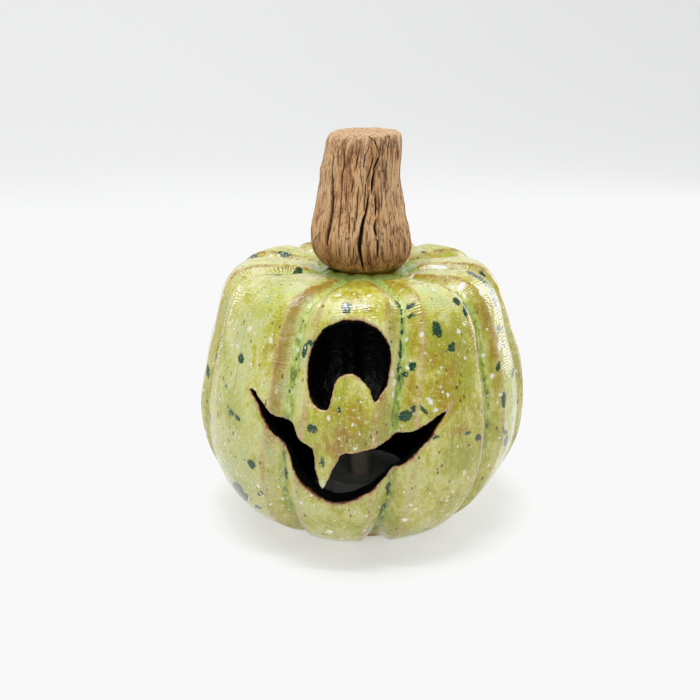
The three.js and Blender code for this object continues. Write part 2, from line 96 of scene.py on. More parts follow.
# carved openings as (azimuth, height)
EYE = [
    (-4.01,95.22), (-0.71,94.97), (1.9,94.15), (4.47,92.98), (6.36,91.52), (7.9,89.71),
    (9.11,87.57), (9.85,85.75), (10.23,83.64), (10.06,81.3), (9.53,78.98), (9.11,76.67),
    (8.54,74.39), (7.88,72.97), (6.95,71.85), (5.74,70.42), (4.69,68.99), (4.02,68.5),
    (3.55,69.32), (3.14,70.79), (2.58,72.25), (1.86,73.42), (0.99,74.59), (-0.04,75.75),
    (-1.24,76.75), (-2.44,77.32), (-3.94,77.74), (-5.15,77.7), (-6.34,77.37), (-7.52,76.6),
    (-8.38,75.69), (-9.06,74.36), (-9.51,73.16), (-9.73,71.7), (-9.95,70.22), (-10.17,68.74),
    (-10.49,67.23), (-10.88,65.98), (-11.28,65.36), (-12.3,65.2), (-13.47,65.32),
    (-14.69,65.96), (-15.79,67.06), (-16.78,68.47), (-17.54,70.16), (-18.1,71.88),
    (-18.55,74.19), (-18.91,76.49), (-19.06,78.82), (-18.88,81.21), (-18.54,83.62),
    (-17.88,85.78), (-17.02,87.66), (-15.85,89.84), (-14.33,91.71), (-12.44,92.98),
    (-10.54,93.92), (-7.95,94.71), (-5.99,95.1)]
MOUTH = [
    (-41.18,67.43), (-40.4,67.97), (-38.56,67.11), (-36.95,65.42), (-35.21,63.99),
    (-33.23,62.35), (-31.35,60.92), (-29.87,59.91), (-27.64,59.58), (-25.46,58.94),
    (-23.88,58.69), (-23.08,57.77), (-22.26,56.33), (-21.22,54.9), (-19.96,53.5),
    (-18.23,52.4), (-16.77,51.79), (-15.71,51.12), (-15.33,49.25), (-15.12,46.51),
    (-14.84,43.71), (-14.3,40.87), (-13.69,37.99), (-13.18,36.53), (-12.63,35.79),
    (-11.8,37.0), (-10.85,39.51), (-9.75,42.25), (-8.54,45.21), (-7.36,47.81), (-6.66,49.24),
    (-5.29,50.13), (-3.23,50.3), (-0.95,50.66), (1.32,51.31), (3.6,52.08), (5.89,52.8),
    (7.96,53.75), (9.59,54.7), (11.47,56.13), (13.84,56.43), (16.75,57.14), (19.23,58.12),
    (21.8,59.56), (24.46,60.95), (26.69,62.1), (28.1,62.62), (27.46,61.18), (25.99,59.37),
    (24.06,56.82), (22.73,54.65), (21.2,52.75), (19.19,50.9), (17.25,48.99), (15.59,46.45),
    (13.48,44.44), (11.14,42.69), (8.84,40.58), (6.54,38.39), (3.78,35.77), (0.98,33.64),
    (-1.88,31.7), (-4.8,30.3), (-7.75,29.63), (-10.21,29.85), (-12.62,30.89), (-15.0,32.5),
    (-17.11,34.39), (-19.26,36.18), (-20.89,38.31), (-22.53,40.67), (-23.71,43.05),
    (-24.9,45.68), (-26.43,47.89), (-28.01,50.33), (-29.94,52.64), (-31.65,54.71),
    (-33.46,56.99), (-35.12,59.53), (-36.55,61.84), (-38.07,64.11), (-39.64,65.82)]
CUT_STEP = 0.42  # spacing of points along a cut, mm


# ------------------------------------------------------------------- numbers
def smoothstep(start, end, x):
    x = np.clip((np.asarray(x, float) - start) / (end - start), 0, 1)
    return x * x * (3 - 2 * x)


def catmull(points, steps):
    """Catmull-Rom curve through the points, with so many steps between each two."""
    ends = np.array(points, float)
    ends = np.vstack([2 * ends[0] - ends[1], ends, 2 * ends[-1] - ends[-2]])
    x = np.linspace(0, 1, steps, endpoint=False)[:, None]
    out = []
    for i in range(1, len(ends) - 2):
        p0, p1, p2, p3 = ends[i - 1:i + 3]
        out.append(0.5 * (2 * p1 + (p2 - p0) * x + (2 * p0 - 5 * p1 + 4 * p2 - p3) * x * x
                          + (3 * p1 - p0 - 3 * p2 + p3) * x ** 3))
    out.append(ends[-2][None])
    return np.vstack(out)


def run_length(steps):
    """Running total that starts at zero."""
    return np.r_[0, np.cumsum(steps)]


def hash3(x, y, z, seed):
    mixed = (x * 73856093) ^ (y * 19349663) ^ (z * 83492791) ^ (seed * 2654435)
    mixed = (mixed ^ (mixed >> 13)) * 1274126177
    mixed = mixed ^ (mixed >> 16)
    return (mixed & 0xFFFFF) / float(0xFFFFF) * 2 - 1


def noise3(points, seed):
    """Smooth value noise in -1..1 at points (n, 3)."""
    floor = np.floor(points)
    near = points - floor
    near = near * near * near * (near * (near * 6 - 15) + 10)
    cell = floor.astype(np.int64)
    out = 0
    for corner in np.ndindex(2, 2, 2):
        wx, wy, wz = [near[:, k] if corner[k] else 1 - near[:, k] for k in range(3)]
        x, y, z = [cell[:, k] + corner[k] for k in range(3)]
        out = out + wx * wy * wz * hash3(x, y, z, seed)
    return out


def rough_noise(points, seed):
    """Two octaves of noise3."""
    return (noise3(points, seed) + 0.5 * noise3(points * 2.03 + 17.3, seed + 1)) / 1.6


def wrapped(angle):
    """Degrees to radians within half a turn of zero."""
    return np.radians((angle + 180) % 360 - 180)


# ------------------------------------------------------------ shell surface
def crest_normals(line):
    tangent = np.gradient(line, axis=0)
    tangent /= np.linalg.norm(tangent, axis=1)[:, None]
    normal = np.stack([-tangent[:, 1], tangent[:, 0]], 1)
    for _ in range(6):  # soften the normals so that offset surfaces stay smooth
        normal[1:-1] = (normal[:-2] + 2 * normal[1:-1] + normal[2:]) / 4
    normal /= np.linalg.norm(normal, axis=1)[:, None]
    normal[0] = (0, 1)
    normal[-1] = (0, -1)
    return normal


LINE = catmull(OUTER, 24)
LINE_RUN = run_length(np.hypot(*np.diff(LINE, axis=0).T))
ARC = float(LINE_RUN[-1])  # length of the crest line, mm
LINE_S = LINE_RUN / ARC
LINE_N = crest_normals(LINE)
FALLING = LINE_S > 0.29  # below the shoulder the height falls steadily


def crest(station):
    """Radius, height and unit normal (radial, upward) of the crest line."""
    station = np.clip(station, 0, 1)
    radius, z, out, up = [np.interp(station, LINE_S, column)
                          for column in (*LINE.T, *LINE_N.T)]
    length = np.hypot(out, up)
    return radius, z, out / length, up / length


def station_of_z(z):
    return np.interp(-np.asarray(z, float), -LINE[FALLING][:, 1], LINE_S[FALLING])


def groove_angle(k, station):
    return np.interp(station, GROOVE_S, GROOVES[k % LOBES]) + 360 * (k // LOBES)


def groove_fields(phi, station):
    """Signed mm to the nearest groove, bevel width, place across the lobe 0..1, lobe."""
    phi = np.asarray(phi, float)
    radius = np.maximum(crest(station)[0], 8)
    nearest = np.full(phi.shape, 1e9)
    low = np.full(phi.shape, -1e9)
    high = np.full(phi.shape, 1e9)
    lobe = np.zeros(phi.shape, int)
    for k in range(-LOBES, 2 * LOBES):
        past = phi - groove_angle(k, station)
        arc = np.radians(past) * radius
        nearest = np.where(np.abs(arc) < np.abs(nearest), arc, nearest)
        starts = (past >= 0) & (past < phi - low)
        lobe = np.where(starts, k % LOBES, lobe)
        low = np.where(starts, phi - past, low)
        high = np.where((past < 0) & (-past < high - phi), phi - past, high)
    span = high - low
    bevel = np.minimum(np.interp(station, BEVEL_S, BEVEL), 0.34 * np.radians(span) * radius)
    return nearest, bevel, (phi - low) / span, lobe


def groove_depth(gap, bevel, station):
    """Depth of a groove with a soft bottom and softened bevel edges."""
    soft, edge = 0.34, 0.035
    gap = np.sqrt(gap * gap + soft * soft) - soft * 0.55
    rise = 1 - gap / bevel
    rise = (0.5 * (rise + np.sqrt(rise * rise + edge * edge))
            - edge * 0.5 * np.exp(-np.abs(rise) * 3))
    rise = np.clip(rise, 0, 1)
    return np.interp(station, DEPTH_S, DEPTH) * (0.86 * rise + 0.14 * rise * rise)


def lobe_lift(gap, bevel, station, lobe):
    """Slow finger flats pressed while the clay was soft."""
    stations = np.broadcast_to(station, gap.shape)
    lift = np.zeros(gap.shape)
    for k in range(LOBES):
        here = lobe == k
        if here.any():
            lift[here] = np.interp(stations[here], LOBE_S, LOBE_LIFT[k])
    lift *= 0.25 + 0.75 * smoothstep(0, 1, np.clip(gap / (bevel * 1.6), 0, 1))
    return lift * (np.clip((1 - station) / 0.05, 0, 1) * np.clip((station - 0.09) / 0.07, 0, 1))


def relief(phi, station):
    """How far the glazed face sits below the crest line."""
    phi = np.asarray(phi, float)
    station = np.asarray(station, float)
    gap, bevel, across, lobe = groove_fields(phi, station)
    gap = np.abs(gap)
    ends = np.minimum(np.clip(station / 0.2, 0, 1), np.clip((1 - station) / 0.08, 0, 1))
    crown = 0.75 * (2 * np.abs(across - 0.5)) ** 2 * ends
    angle = np.radians(phi)
    radius, z = crest(station)[:2]
    points = np.stack([radius * np.sin(angle), -radius * np.cos(angle), z], -1).reshape(-1, 3)
    hand = rough_noise(points / 26.0, 5) * 0.55 + rough_noise(points / 9.0, 9) * 0.16
    hand = hand.reshape(phi.shape) * ends
    # glaze pooled in a collar round the stem, and the rounded toe of each lobe behind it
    from_stem = np.hypot(points[:, 0] - STEM_X, points[:, 1]).reshape(phi.shape)
    wave = noise3(points / 5.0, 31).reshape(phi.shape)
    reach = 2.9 + 0.5 * wave
    collar = (2.3 + 0.35 * wave) * np.exp(-(np.clip(from_stem - 13.2, 0, 30) / reach) ** 2)
    toe = (0.95 * smoothstep(17.2, 21.0, from_stem) * (1 - smoothstep(23, 36, from_stem))
           * smoothstep(0.25, 1.0, gap / np.maximum(bevel, 1)))
    return (groove_depth(gap, bevel, station) + crown + hand
            - lobe_lift(gap, bevel, station, lobe) - np.where(z > 90, collar + toe, 0))


def polar(radius, phi, z):
    angle = np.radians(phi)
    return np.stack([radius * np.sin(angle), -radius * np.cos(angle), z], -1)


def surface(phi, station, inset, share):
    """Point inset mm under the face along the crest normal, with a share of the relief."""
    radius, z, out, up = crest(station)
    depth = relief(phi, station) * share + inset
    return polar(radius - out * depth, phi, z - up * depth)


# ------------------------------------------------------------- carving plane
PLANE_R = 60.0  # x = azimuth on a radius of 60 mm, y = distance along the crest line


def to_plane(phi, station):
    return np.stack([np.radians(phi) * PLANE_R, np.asarray(station) * ARC], -1)


def from_plane(points):
    return np.degrees(points[:, 0] / PLANE_R), points[:, 1] / ARC


def resample(loop, step, corner=38.0):
    """Even points on a closed loop, kept on corners sharper than corner degrees."""
    points = np.array(loop, float)
    count = len(points)
    into = points - np.roll(points, 1, 0)
    away = np.roll(points, -1, 0) - points
    cross = into[:, 0] * away[:, 1] - into[:, 1] * away[:, 0]
    bend = np.degrees(np.abs(np.arctan2(cross, (into * away).sum(1))))
    keep = [i for i in range(count) if bend[i] > corner] or [0]
    out, corners = [], []
    for j, first in enumerate(keep):
        length = (keep[(j + 1) % len(keep)] - first) % count or count
        part = points[[(first + k) % count for k in range(length + 1)]]
        if len(part) > 3:
            part = catmull(part, 8)
        run = run_length(np.linalg.norm(np.diff(part, axis=0), axis=1))
        places = np.linspace(0, run[-1], max(2, int(round(run[-1] / step))), endpoint=False)
        corners.append(len(out))
        out += list(np.stack([np.interp(places, run, part[:, k]) for k in (0, 1)], 1))
    return np.array(out), corners


def signed_area(loop):
    after = np.roll(loop, -1, 0)
    return 0.5 * float((loop[:, 0] * after[:, 1] - after[:, 0] * loop[:, 1]).sum())


def inside_loop(points, loop):
    x, y = points[:, 0], points[:, 1]
    inside = np.zeros(len(points), bool)
    for (x0, y0), (x1, y1) in zip(loop, np.roll(loop, -1, 0)):
        if y0 != y1:
            inside ^= ((y0 > y) != (y1 > y)) & (x < (x1 - x0) * (y - y0) / (y1 - y0) + x0)
    return inside


def loop_distance(points, loop):
    """Unsigned distance from points to a closed polyline."""
    best = np.full(len(points), 1e9)
    for start, end in zip(loop, np.roll(loop, -1, 0)):
        side = end - start
        along = np.clip(((points - start) @ side) / max(float(side @ side), 1e-12), 0, 1)
        off = points - (start + along[:, None] * side)
        best = np.minimum(best, off[:, 0] ** 2 + off[:, 1] ** 2)
    return np.sqrt(best)


def loop_normals(loop):
    """Unit normals that point out of a counter-clockwise loop."""
    along = np.roll(loop, -1, 0) - np.roll(loop, 1, 0)
    normal = np.stack([along[:, 1], -along[:, 0]], 1)
    return normal / np.maximum(np.linalg.norm(normal, axis=1), 1e-9)[:, None]


def carve_loop(outline):
    """A carved outline on the plane, counter-clockwise."""
    phi = np.array([a for a, _ in outline])
    station = station_of_z([z for _, z in outline])
    loop, corners = resample(to_plane(phi, station), CUT_STEP)
    # the knife wandered a little, except at the corners
    run = np.arange(len(loop)) * CUT_STEP
    wander = (0.10 * np.sin(run * 0.9) + 0.07 * np.sin(run * 2.3 + 1.0)
              + 0.05 * np.sin(run * 4.1 + 2.0))
    for corner in corners:
        for k in range(-3, 4):
            wander[(corner + k) % len(loop)] *= abs(k) / 4
    loop = loop + loop_normals(loop) * wander[:, None]
    return loop[::-1] if signed_area(loop) < 0 else loop


HOLES = [carve_loop(EYE), carve_loop(MOUTH)]


def hole_distance(points):
    return np.min([loop_distance(points, hole) for hole in HOLES], axis=0)


def in_hole(points):
    return np.any([inside_loop(points, hole) for hole in HOLES], axis=0)


def ring_points(distance, spacing):
    """Points standing a distance outside the holes, fanned round the corners."""
    out = []
    for hole in HOLES:
        angles = [math.atan2(-side[0], side[1]) for side in hole - np.roll(hole, 1, 0)]
        for i, start in enumerate(angles):
            turn = (angles[(i + 1) % len(hole)] - start + math.pi) % (2 * math.pi) - math.pi
            steps = max(1, int(abs(turn) * distance / spacing))
            count = steps + 1 if steps > 1 else 1
            for k in range(count):
                angle = start + turn * ((k + 0.5) / count)
                out.append(hole[i] + distance * np.array([math.cos(angle), math.sin(angle)]))
    out = np.array(out)
    out = out[hole_distance(out) > distance * 0.985]
    # thin crowded points
    cells = {}
    keep = []
    for i, (x, y) in enumerate(out):
        column, row = int(x / spacing), int(y / spacing)
        crowded = any((out[j][0] - x) ** 2 + (out[j][1] - y) ** 2 < (spacing * 0.72) ** 2
                      for dx in (-1, 0, 1) for dy in (-1, 0, 1)
                      for j in cells.get((column + dx, row + dy), []))
        if not crowded:
            cells.setdefault((column, row), []).append(i)
            keep.append(i)
    return out[keep]


def fill(border, inner_points):
    """Delaunay triangles inside the border and outside the holes that keep every edge."""
    verts = []
    edges = []
    for loop in (border, *HOLES):
        first = len(verts)
        verts += list(map(tuple, loop))
        edges += [(first + i, first + (i + 1) % len(loop)) for i in range(len(loop))]
    verts += list(map(tuple, inner_points))
    placed, _, faces, origins, _, _ = geometry.delaunay_2d_cdt(
        [Vector(v) for v in verts], edges, [], 0, 1e-6, True)
    source = np.array([o[0] if o else -1 for o in origins])
    tri = np.array([f[:] for f in faces if len(f) == 3])
    placed = np.array([tuple(v) for v in placed])
    middle = placed[tri].mean(1)
    tri = tri[inside_loop(middle, border) & ~in_hole(middle)]
    one, two, three = (placed[tri[:, k]] for k in range(3))
    area = ((two[:, 0] - one[:, 0]) * (three[:, 1] - one[:, 1])
            - (two[:, 1] - one[:, 1]) * (three[:, 0] - one[:, 0]))
    tri[area < 0] = tri[area < 0][:, ::-1]
    # slivers that hang outside the border are peeled off, so every free edge is a border edge
    count = len(verts)
    wanted = np.array([min(e) * count + max(e) for e in edges])
    while True:
        corner = source[tri]
        edge = np.sort(np.vstack([corner[:, [0, 1]], corner[:, [1, 2]], corner[:, [2, 0]]]),
                       axis=1)
        key = edge[:, 0] * count + edge[:, 1]
        _, where, uses = np.unique(key, return_inverse=True, return_counts=True)
        loose = (uses[where.ravel()] == 1) & ~np.isin(key, wanted)
        drop = loose.reshape(3, -1).any(0)
        if not drop.any():
            break
        tri = tri[~drop]
    assert (source[np.unique(tri)] >= 0).all(), "the fill made a vertex of its own"
    return source[tri]


# ------------------------------------------------------------- glaze blooms
# (azimuth, station, half sizes in mm across and along, direction of the short axis)
GREEN_SPOTS = [
    (-6,.3066,1.55,1.98,-52), (-21,.4026,1.05,2.8,-169), (-18.9,.3854,.99,1.43,-82),
    (9.7,.3528,.47,.68,-102), (19.9,.3017,.96,1.7,-114), (19.6,.3267,.63,1.25,-94),
    (15.6,.2846,.87,2.23,175), (16.3,.3115,.54,1.27,-172), (15.9,.3345,.44,1.46,-173),
    (15.5,.3613,.53,1.29,-167), (14.4,.3895,.52,1.71,-175), (14,.4072,.84,1.5,-176),
    (13.2,.435,.46,1.87,-169), (13.2,.4566,.37,1.19,-168), (17.8,.435,1.18,1.36,-126),
    (15.3,.4482,.83,1.22,-107), (14.3,.5368,1.85,2.44,-116), (16.7,.5209,.76,1.31,-167),
    (-7.6,.5169,.78,.91,0), (-15.6,.5606,1.53,1.79,90), (-12.4,.6317,.81,2.46,-176),
    (19.9,.5249,.59,2.21,141), (24.1,.5874,.72,1.17,90), (28.2,.3644,1.69,2.93,169),
    (33.3,.4072,1.47,1.72,-147), (30.4,.4118,.2,.82,90), (41.4,.314,1.5,1.75,-115),
    (44.3,.3345,1.54,3.2,-150), (48,.3937,.8,1.88,-161), (47.9,.4211,.97,2.68,-173),
    (48,.4482,.2,.91,90), (62.6,.4072,1.34,2.34,-110), (-68.2,.435,2.64,3.61,-105),
    (-47.7,.4482,1.54,1.98,144), (-53.6,.5209,.8,1.04,-129), (-49,.5722,1.12,1.62,-81),
    (-45.5,.5761,.96,1.66,-57), (-66.2,.6205,1.99,3.04,-132), (-39.4,.6747,1.83,1.87,-73),
    (-54.3,.7689,.78,4.61,-127), (-53.3,.7845,2.92,6.78,-139), (-52.7,.8079,1.27,8.5,-132),
    (-26.8,.6865,.97,2.59,-174), (-38.3,.7533,.64,1.91,-133), (-44.1,.8117,.88,3.06,-121),
    (9.2,.7022,1.14,1.6,-164), (9.1,.7258,.61,1.59,175), (8,.7767,1.33,2.71,-178),
    (7.5,.8002,.75,1.86,-174), (30.4,.8731,.2,3.02,-56), (46.1,.6393,1.36,2.22,-168),
    (46.9,.6169,.78,1.48,142), (60.6,.6668,1.82,2.78,151), (36.2,.5948,.6,1.61,90),
    (41,.6132,1.17,1.51,-72), (47.8,.6205,.98,2.96,-177), (58.6,.6393,.82,2.74,-62),
    (-69.6,.1555,1.62,4.32,-56), (-61.8,.2093,1.21,2.44,-46), (-108.7,.2692,1.48,5.64,-125),
    (80.2,.2121,.72,2.92,-108), (68.4,.2613,1.47,2.06,-123), (67,.2821,1.88,2.8,174),
    (66.7,.3042,1.49,2,-98), (66.5,.3241,1.42,2.11,-91), (65.6,.3448,1.86,2.46,-156),
    (63.7,.0682,1.41,4,-117), (87.2,.0766,.87,3.01,-88), (-52.6,.0682,1.06,2.42,-49),
    (57,.5567,1.31,3.11,-170), (67.5,.5169,1.24,2.5,-115), (57.3,.481,.92,2.11,-135),
    (-5.6,.319,.42,1.58,90)]
# some white spots along the groove right of the eye are painted glints; the rest are white specks
# in the glaze
WHITE_SPOTS_AND_GLINTS = [
    (37.4,.3777,.77,1.23,139), (53.2,.2744,1.24,1.81,-88), (58.6,.314,1.11,1.92,-115),
    (-46.1,.3815,.84,1.5,-122), (-34.9,.3937,.86,1.24,165), (-51,.4258,.75,1.4,173),
    (-47.6,.3528,.53,.98,155), (-3.8,.5911,.4,.42,0), (-2.8,.5836,.31,.34,90),
    (-2.1,.5985,.72,.78,90), (-7.5,.5761,.4,.43,90), (-6.6,.5799,.33,.36,0),
    (-5.3,.493,.24,.63,-149), (-0.4,.489,.42,.42,0), (-2.5,.5169,.46,.53,90),
    (-1,.5329,.46,.51,0), (-3.2,.5329,.32,.33,90), (24.3,.4258,.48,.76,-167),
    (24.3,.5289,.78,1.05,90), (22.4,.5089,.71,1.48,168), (21.9,.3708,.76,1.14,-162),
    (26.8,.4524,.39,.81,142), (16.2,.8002,1.03,1.3,-54), (17,.7494,.72,.86,-58),
    (-25,.8303,.38,1.23,-143), (-12.8,.8413,1.21,1.69,-161), (1.4,.8339,.82,.9,0),
    (6.3,.7611,.51,.89,173), (26.8,.8192,.46,1.4,146), (31.3,.7572,.63,.89,-46),
    (38.2,.7061,.5,1.19,144), (26.4,.6588,.44,.56,-72), (-52.9,.6549,.7,1.16,-137),
    (-49.7,.6747,.31,1.1,-122), (-43.4,.6169,.3,.79,-124), (-33.8,.6355,.31,.75,-134),
    (-41.4,.7416,.2,1.43,-122), (-43.5,.7258,.2,.97,-123), (-35.6,.7845,.32,1.17,-131),
    (-27.1,.7337,.2,.76,-135), (-31.7,.5448,.38,.54,-79), (-61.5,.5448,.48,.94,-111),
    (-56.9,.5567,.71,.84,-50), (-36.2,.4607,.33,.43,-76), (-43.4,.473,.35,.65,-133),
    (-26.3,.477,.31,.38,-67), (-22.5,.5049,.33,.38,90), (60.8,.4395,1.3,2.08,-145),
    (63.8,.4607,1.21,1.66,-128), (53.9,.497,.79,1.12,-136), (52.8,.4482,.6,1.14,-59),
    (45,.501,.54,1.08,175), (40.5,.5169,.34,.62,137), (36,.5408,.48,.57,-130),
    (8,.3854,.32,.37,-127), (16.8,.3777,.5,.95,-167), (-16.2,.4607,.36,.48,160),
    (-14.5,.485,.33,.37,90), (-16.9,.5129,.39,.46,90), (4.4,.493,.33,.38,90),
    (8.2,.5129,.33,.33,0), (11.2,.4648,.65,1.36,-168), (10.6,.489,.52,1.3,0)]


def back_blooms(count, seed, small, longest):
    """Blooms scattered over the sides and back, beyond the tables."""
    rng = np.random.RandomState(seed)
    out = []
    while len(out) < count:
        phi = rng.uniform(72, 290)
        station = rng.uniform(0.17, 0.92)
        if rng.rand() > crest(station)[0] / 64.0:
            continue
        if rng.rand() < 0.35:  # many settle along a groove
            k = int(rng.randint(5, 10))
            phi = float(groove_angle(k, station)) + rng.uniform(-2, 2)
            short, long, angle = rng.uniform(0.4, 0.9), rng.uniform(1.2, 3.2), rng.uniform(-12, 12)
        else:
            short = rng.uniform(*small)
            long = short * rng.uniform(1.1, longest)
            angle = rng.uniform(-45, 45)
        out.append((phi, station, short, long, angle))
    return out


GREEN_BLOOMS = GREEN_SPOTS + back_blooms(74, seed=3, small=(0.7, 1.9), longest=2.1)
WHITE_BLOOMS_AND_GLINTS = WHITE_SPOTS_AND_GLINTS + back_blooms(90, seed=4, small=(0.3, 0.9), longest=1.8)


def bloom_distance(phi, station, spots):
    """Distance in mm to the edge of the nearest bloom, negative inside."""
    best = np.full(np.shape(phi), 20.0)
    for centre, level, short, long, angle in spots:
        dx = wrapped(phi - centre) * max(float(crest(level)[0]), 8)
        dy = (station - level) * ARC
        near = (np.abs(dx) < long + 6) & (np.abs(dy) < long + 6)
        if not near.any():
            continue
        cos, sin = math.cos(math.radians(angle)), math.sin(math.radians(angle))
        across = dx[near] * cos + dy[near] * sin
        along = -dx[near] * sin + dy[near] * cos
        share = np.sqrt((across / short) ** 2 + (along / long) ** 2) + 1e-6
        size = short + (long - short) * (along / long) ** 2 / (share * share)
        best[near] = np.minimum(best[near], (share - 1) * size)
    return best


# --------------------------------------------------------------- shell mesh
COLUMNS = 36  # outer columns in each lobe
R_POLE = 6.0  # radius of the first ring round each pole
S_POLE = float(np.interp(R_POLE, LINE[LINE_S < 0.2][:, 0], LINE_S[LINE_S < 0.2]))
LIP_OUT, LIP_IN = 0.85, 0.6  # radii of the rolled edges of the openings
WINDOW_TOP = 98.6
WALL_DEPTHS = (1.15, 1.7, 2.6, 3.7, 4.8)  # rings down the cut walls, mm under the face
# which part of the shell a vertex belongs to
FACE, CUT_WALL, HOLLOW, BARE_EDGE, BARE_FOOT = 0.0, 1.0, 2.0, 2.6, 3.0
# foot ring, from its flat underside up into the hollow: (radius, height, zone)
FOOT = [
    (28.9, 0.0, BARE_FOOT), (27.2, 0.0, BARE_FOOT), (26.0, 0.06, BARE_FOOT),
    (25.2, 0.45, BARE_FOOT), (24.8, 1.3, BARE_EDGE), (24.9, 2.6, HOLLOW), (25.6, 3.9, HOLLOW),
    (27.0, 5.0, HOLLOW), (28.8, 5.7, HOLLOW)]


def column_phi(j, columns, station):
    """Azimuth of a grid column, with columns set closer toward the grooves."""
    k, column = divmod(j, columns)
    share = column / float(columns)
    share -= 0.36 * math.sin(2 * math.pi * share) / (2 * math.pi)
    start, end = groove_angle(k, station), groove_angle(k + 1, station)
    return start + share * (end - start)


def row_phi(columns, station):
    return np.array([float(column_phi(j, columns, station)) for j in range(columns * LOBES)])


def ring_strip(first, second):
    """Triangles between two closed rings of equal length."""
    first2, second2 = np.roll(first, -1), np.roll(second, -1)
    return np.vstack([np.stack([first, second, first2], 1),
                      np.stack([first2, second, second2], 1)])


def pole_fan(pole, ring):
    return np.stack([np.full(len(ring), pole), ring, np.roll(ring, -1)], 1)


def lip(distance, radius):
    """Rolled edge: how far the face drops at a distance from the cut."""
    x = np.clip(radius - distance, 0, radius)
    return radius - np.sqrt(np.maximum(radius * radius - x * x, 0))


class Builder:
    """Collects vertices with their glaze fields, and triangles."""

    def __init__(self):
        self.verts = []
        self.fields = {key: [] for key in ("ed", "zone", "wd", "phi", "t")}
        self.tri = []
        self.count = 0

    def add(self, phi, station, inset=0.0, share=1.0, zone=FACE, depth=0.0, edge=30.0,
            place=None):
        """Adds points on the shell, or at place = (radius, height); returns their indices."""
        phi = np.atleast_1d(np.asarray(phi, float))
        station = np.broadcast_to(np.asarray(station, float), phi.shape)
        if place is None:
            verts = surface(phi, station, inset, share)
        else:
            verts = polar(place[0], phi, np.broadcast_to(place[1], phi.shape))
        self.verts.append(verts)
        values = dict(ed=edge, zone=zone, wd=depth, phi=phi, t=station)
        for key, value in values.items():
            self.fields[key].append(np.broadcast_to(np.asarray(value, float), phi.shape))
        first = self.count
        self.count += len(phi)
        return np.arange(first, self.count)


def window_points(border, columns, rows, window, spacing, rings):
    """Points inside the window: rings round the holes, then a fine lobe-following grid."""
    j0, j1, i0, i1 = window
    close = np.vstack([ring_points(distance, step) for distance, step in rings])
    close = close[~in_hole(close) & inside_loop(close, border)]
    top, bottom = rows[i0], rows[i1]
    fine_rows = int((bottom - top) * ARC / spacing)
    fine_columns = int(round(40.0 / spacing))
    first = int(j0 * fine_columns / columns) - 2
    last = int(j1 * fine_columns / columns) + 3
    fine = []
    for i in range(1, fine_rows):
        station = top + (bottom - top) * i / fine_rows
        fine += [to_plane(column_phi(j, fine_columns, station), station)
                 for j in range(first, last)]
    fine = np.array(fine)
    fine = fine[inside_loop(fine, border)]
    fine = fine[loop_distance(fine, border) > spacing * 0.6]
    reach = rings[-1][0]
    fine = fine[~in_hole(fine) & (hole_distance(fine) > reach + spacing * 0.55)]
    return np.vstack([close, fine])


def skin(build, columns, rows, window, spacing, rings, inset, share, zone, lip_radius, sign):
    """A whole outer or inner face: a grid with a Delaunay window round the openings.

    window is (first column, last column, first row, last row), rings is
    (distance, spacing) round the openings and sign is the way the lip rolls.
    Returns the grid's indices and those of the points on each opening.
    """
    total = columns * LOBES
    j0, j1, i0, i1 = window
    grid = [row_phi(columns, station) for station in rows]
    index = np.full((len(rows), total), -1)
    for i, (phi, station) in enumerate(zip(grid, rows)):
        used = np.ones(total, bool)
        if i0 < i < i1:
            used[j0 + 1:j1] = False
        index[i, used] = build.add(phi[used], station, inset=inset, share=share, zone=zone)
    for i in range(len(rows) - 1):
        for j in range(total):
            if i0 <= i < i1 and j0 <= j < j1:
                continue
            after = (j + 1) % total
            quad = index[i, j], index[i + 1, j], index[i, after], index[i + 1, after]
            build.tri.append(np.array([quad[:3], [quad[2], quad[1], quad[3]]]))
    # the window's border repeats the grid's own vertices
    edge = [(i, j0) for i in range(i0, i1)] + [(i1, j) for j in range(j0, j1)]
    edge += [(i, j1) for i in range(i1, i0, -1)] + [(i0, j) for j in range(j1, j0, -1)]
    border = np.array([to_plane(grid[i][j], rows[i]) for i, j in edge])
    known = [index[i, j] for i, j in edge]
    if signed_area(border) < 0:
        border, known = border[::-1], known[::-1]
    inner = window_points(border, columns, rows, window, spacing, rings)
    tri = fill(border, inner)
    hole_rings = []
    for hole in HOLES:
        hole_rings.append(build.add(*from_plane(hole), inset=inset + sign * lip_radius,
                                    share=share, zone=zone, edge=0.0))
        known += list(hole_rings[-1])
    distance = hole_distance(inner)
    known += list(build.add(*from_plane(inner), inset=inset + sign * lip(distance, lip_radius),
                            share=share, zone=zone, edge=distance))
    build.tri.append(np.array(known)[tri])
    return index, hole_rings


def cut_wall(build, hole, outer_ring, inner_ring):
    """The wall of a carved opening, with faint drag marks from the knife."""
    normal = loop_normals(hole)
    run = np.arange(len(hole)) * CUT_STEP
    last = outer_ring
    for depth in WALL_DEPTHS:
        share = depth / WALL
        drag = 0.11 * np.sin(run * 0.8 + depth * 0.5) + 0.06 * np.sin(run * 2.1 + depth * 1.3)
        drag = drag * math.sin(math.pi * share)
        ring = build.add(*from_plane(hole + normal * drag[:, None]), inset=depth,
                         share=1 - (1 - INNER_SHARE) * share, zone=CUT_WALL, depth=depth,
                         edge=0.0)
        build.tri.append(ring_strip(last, ring))
        last = ring
    build.tri.append(ring_strip(last, inner_ring))


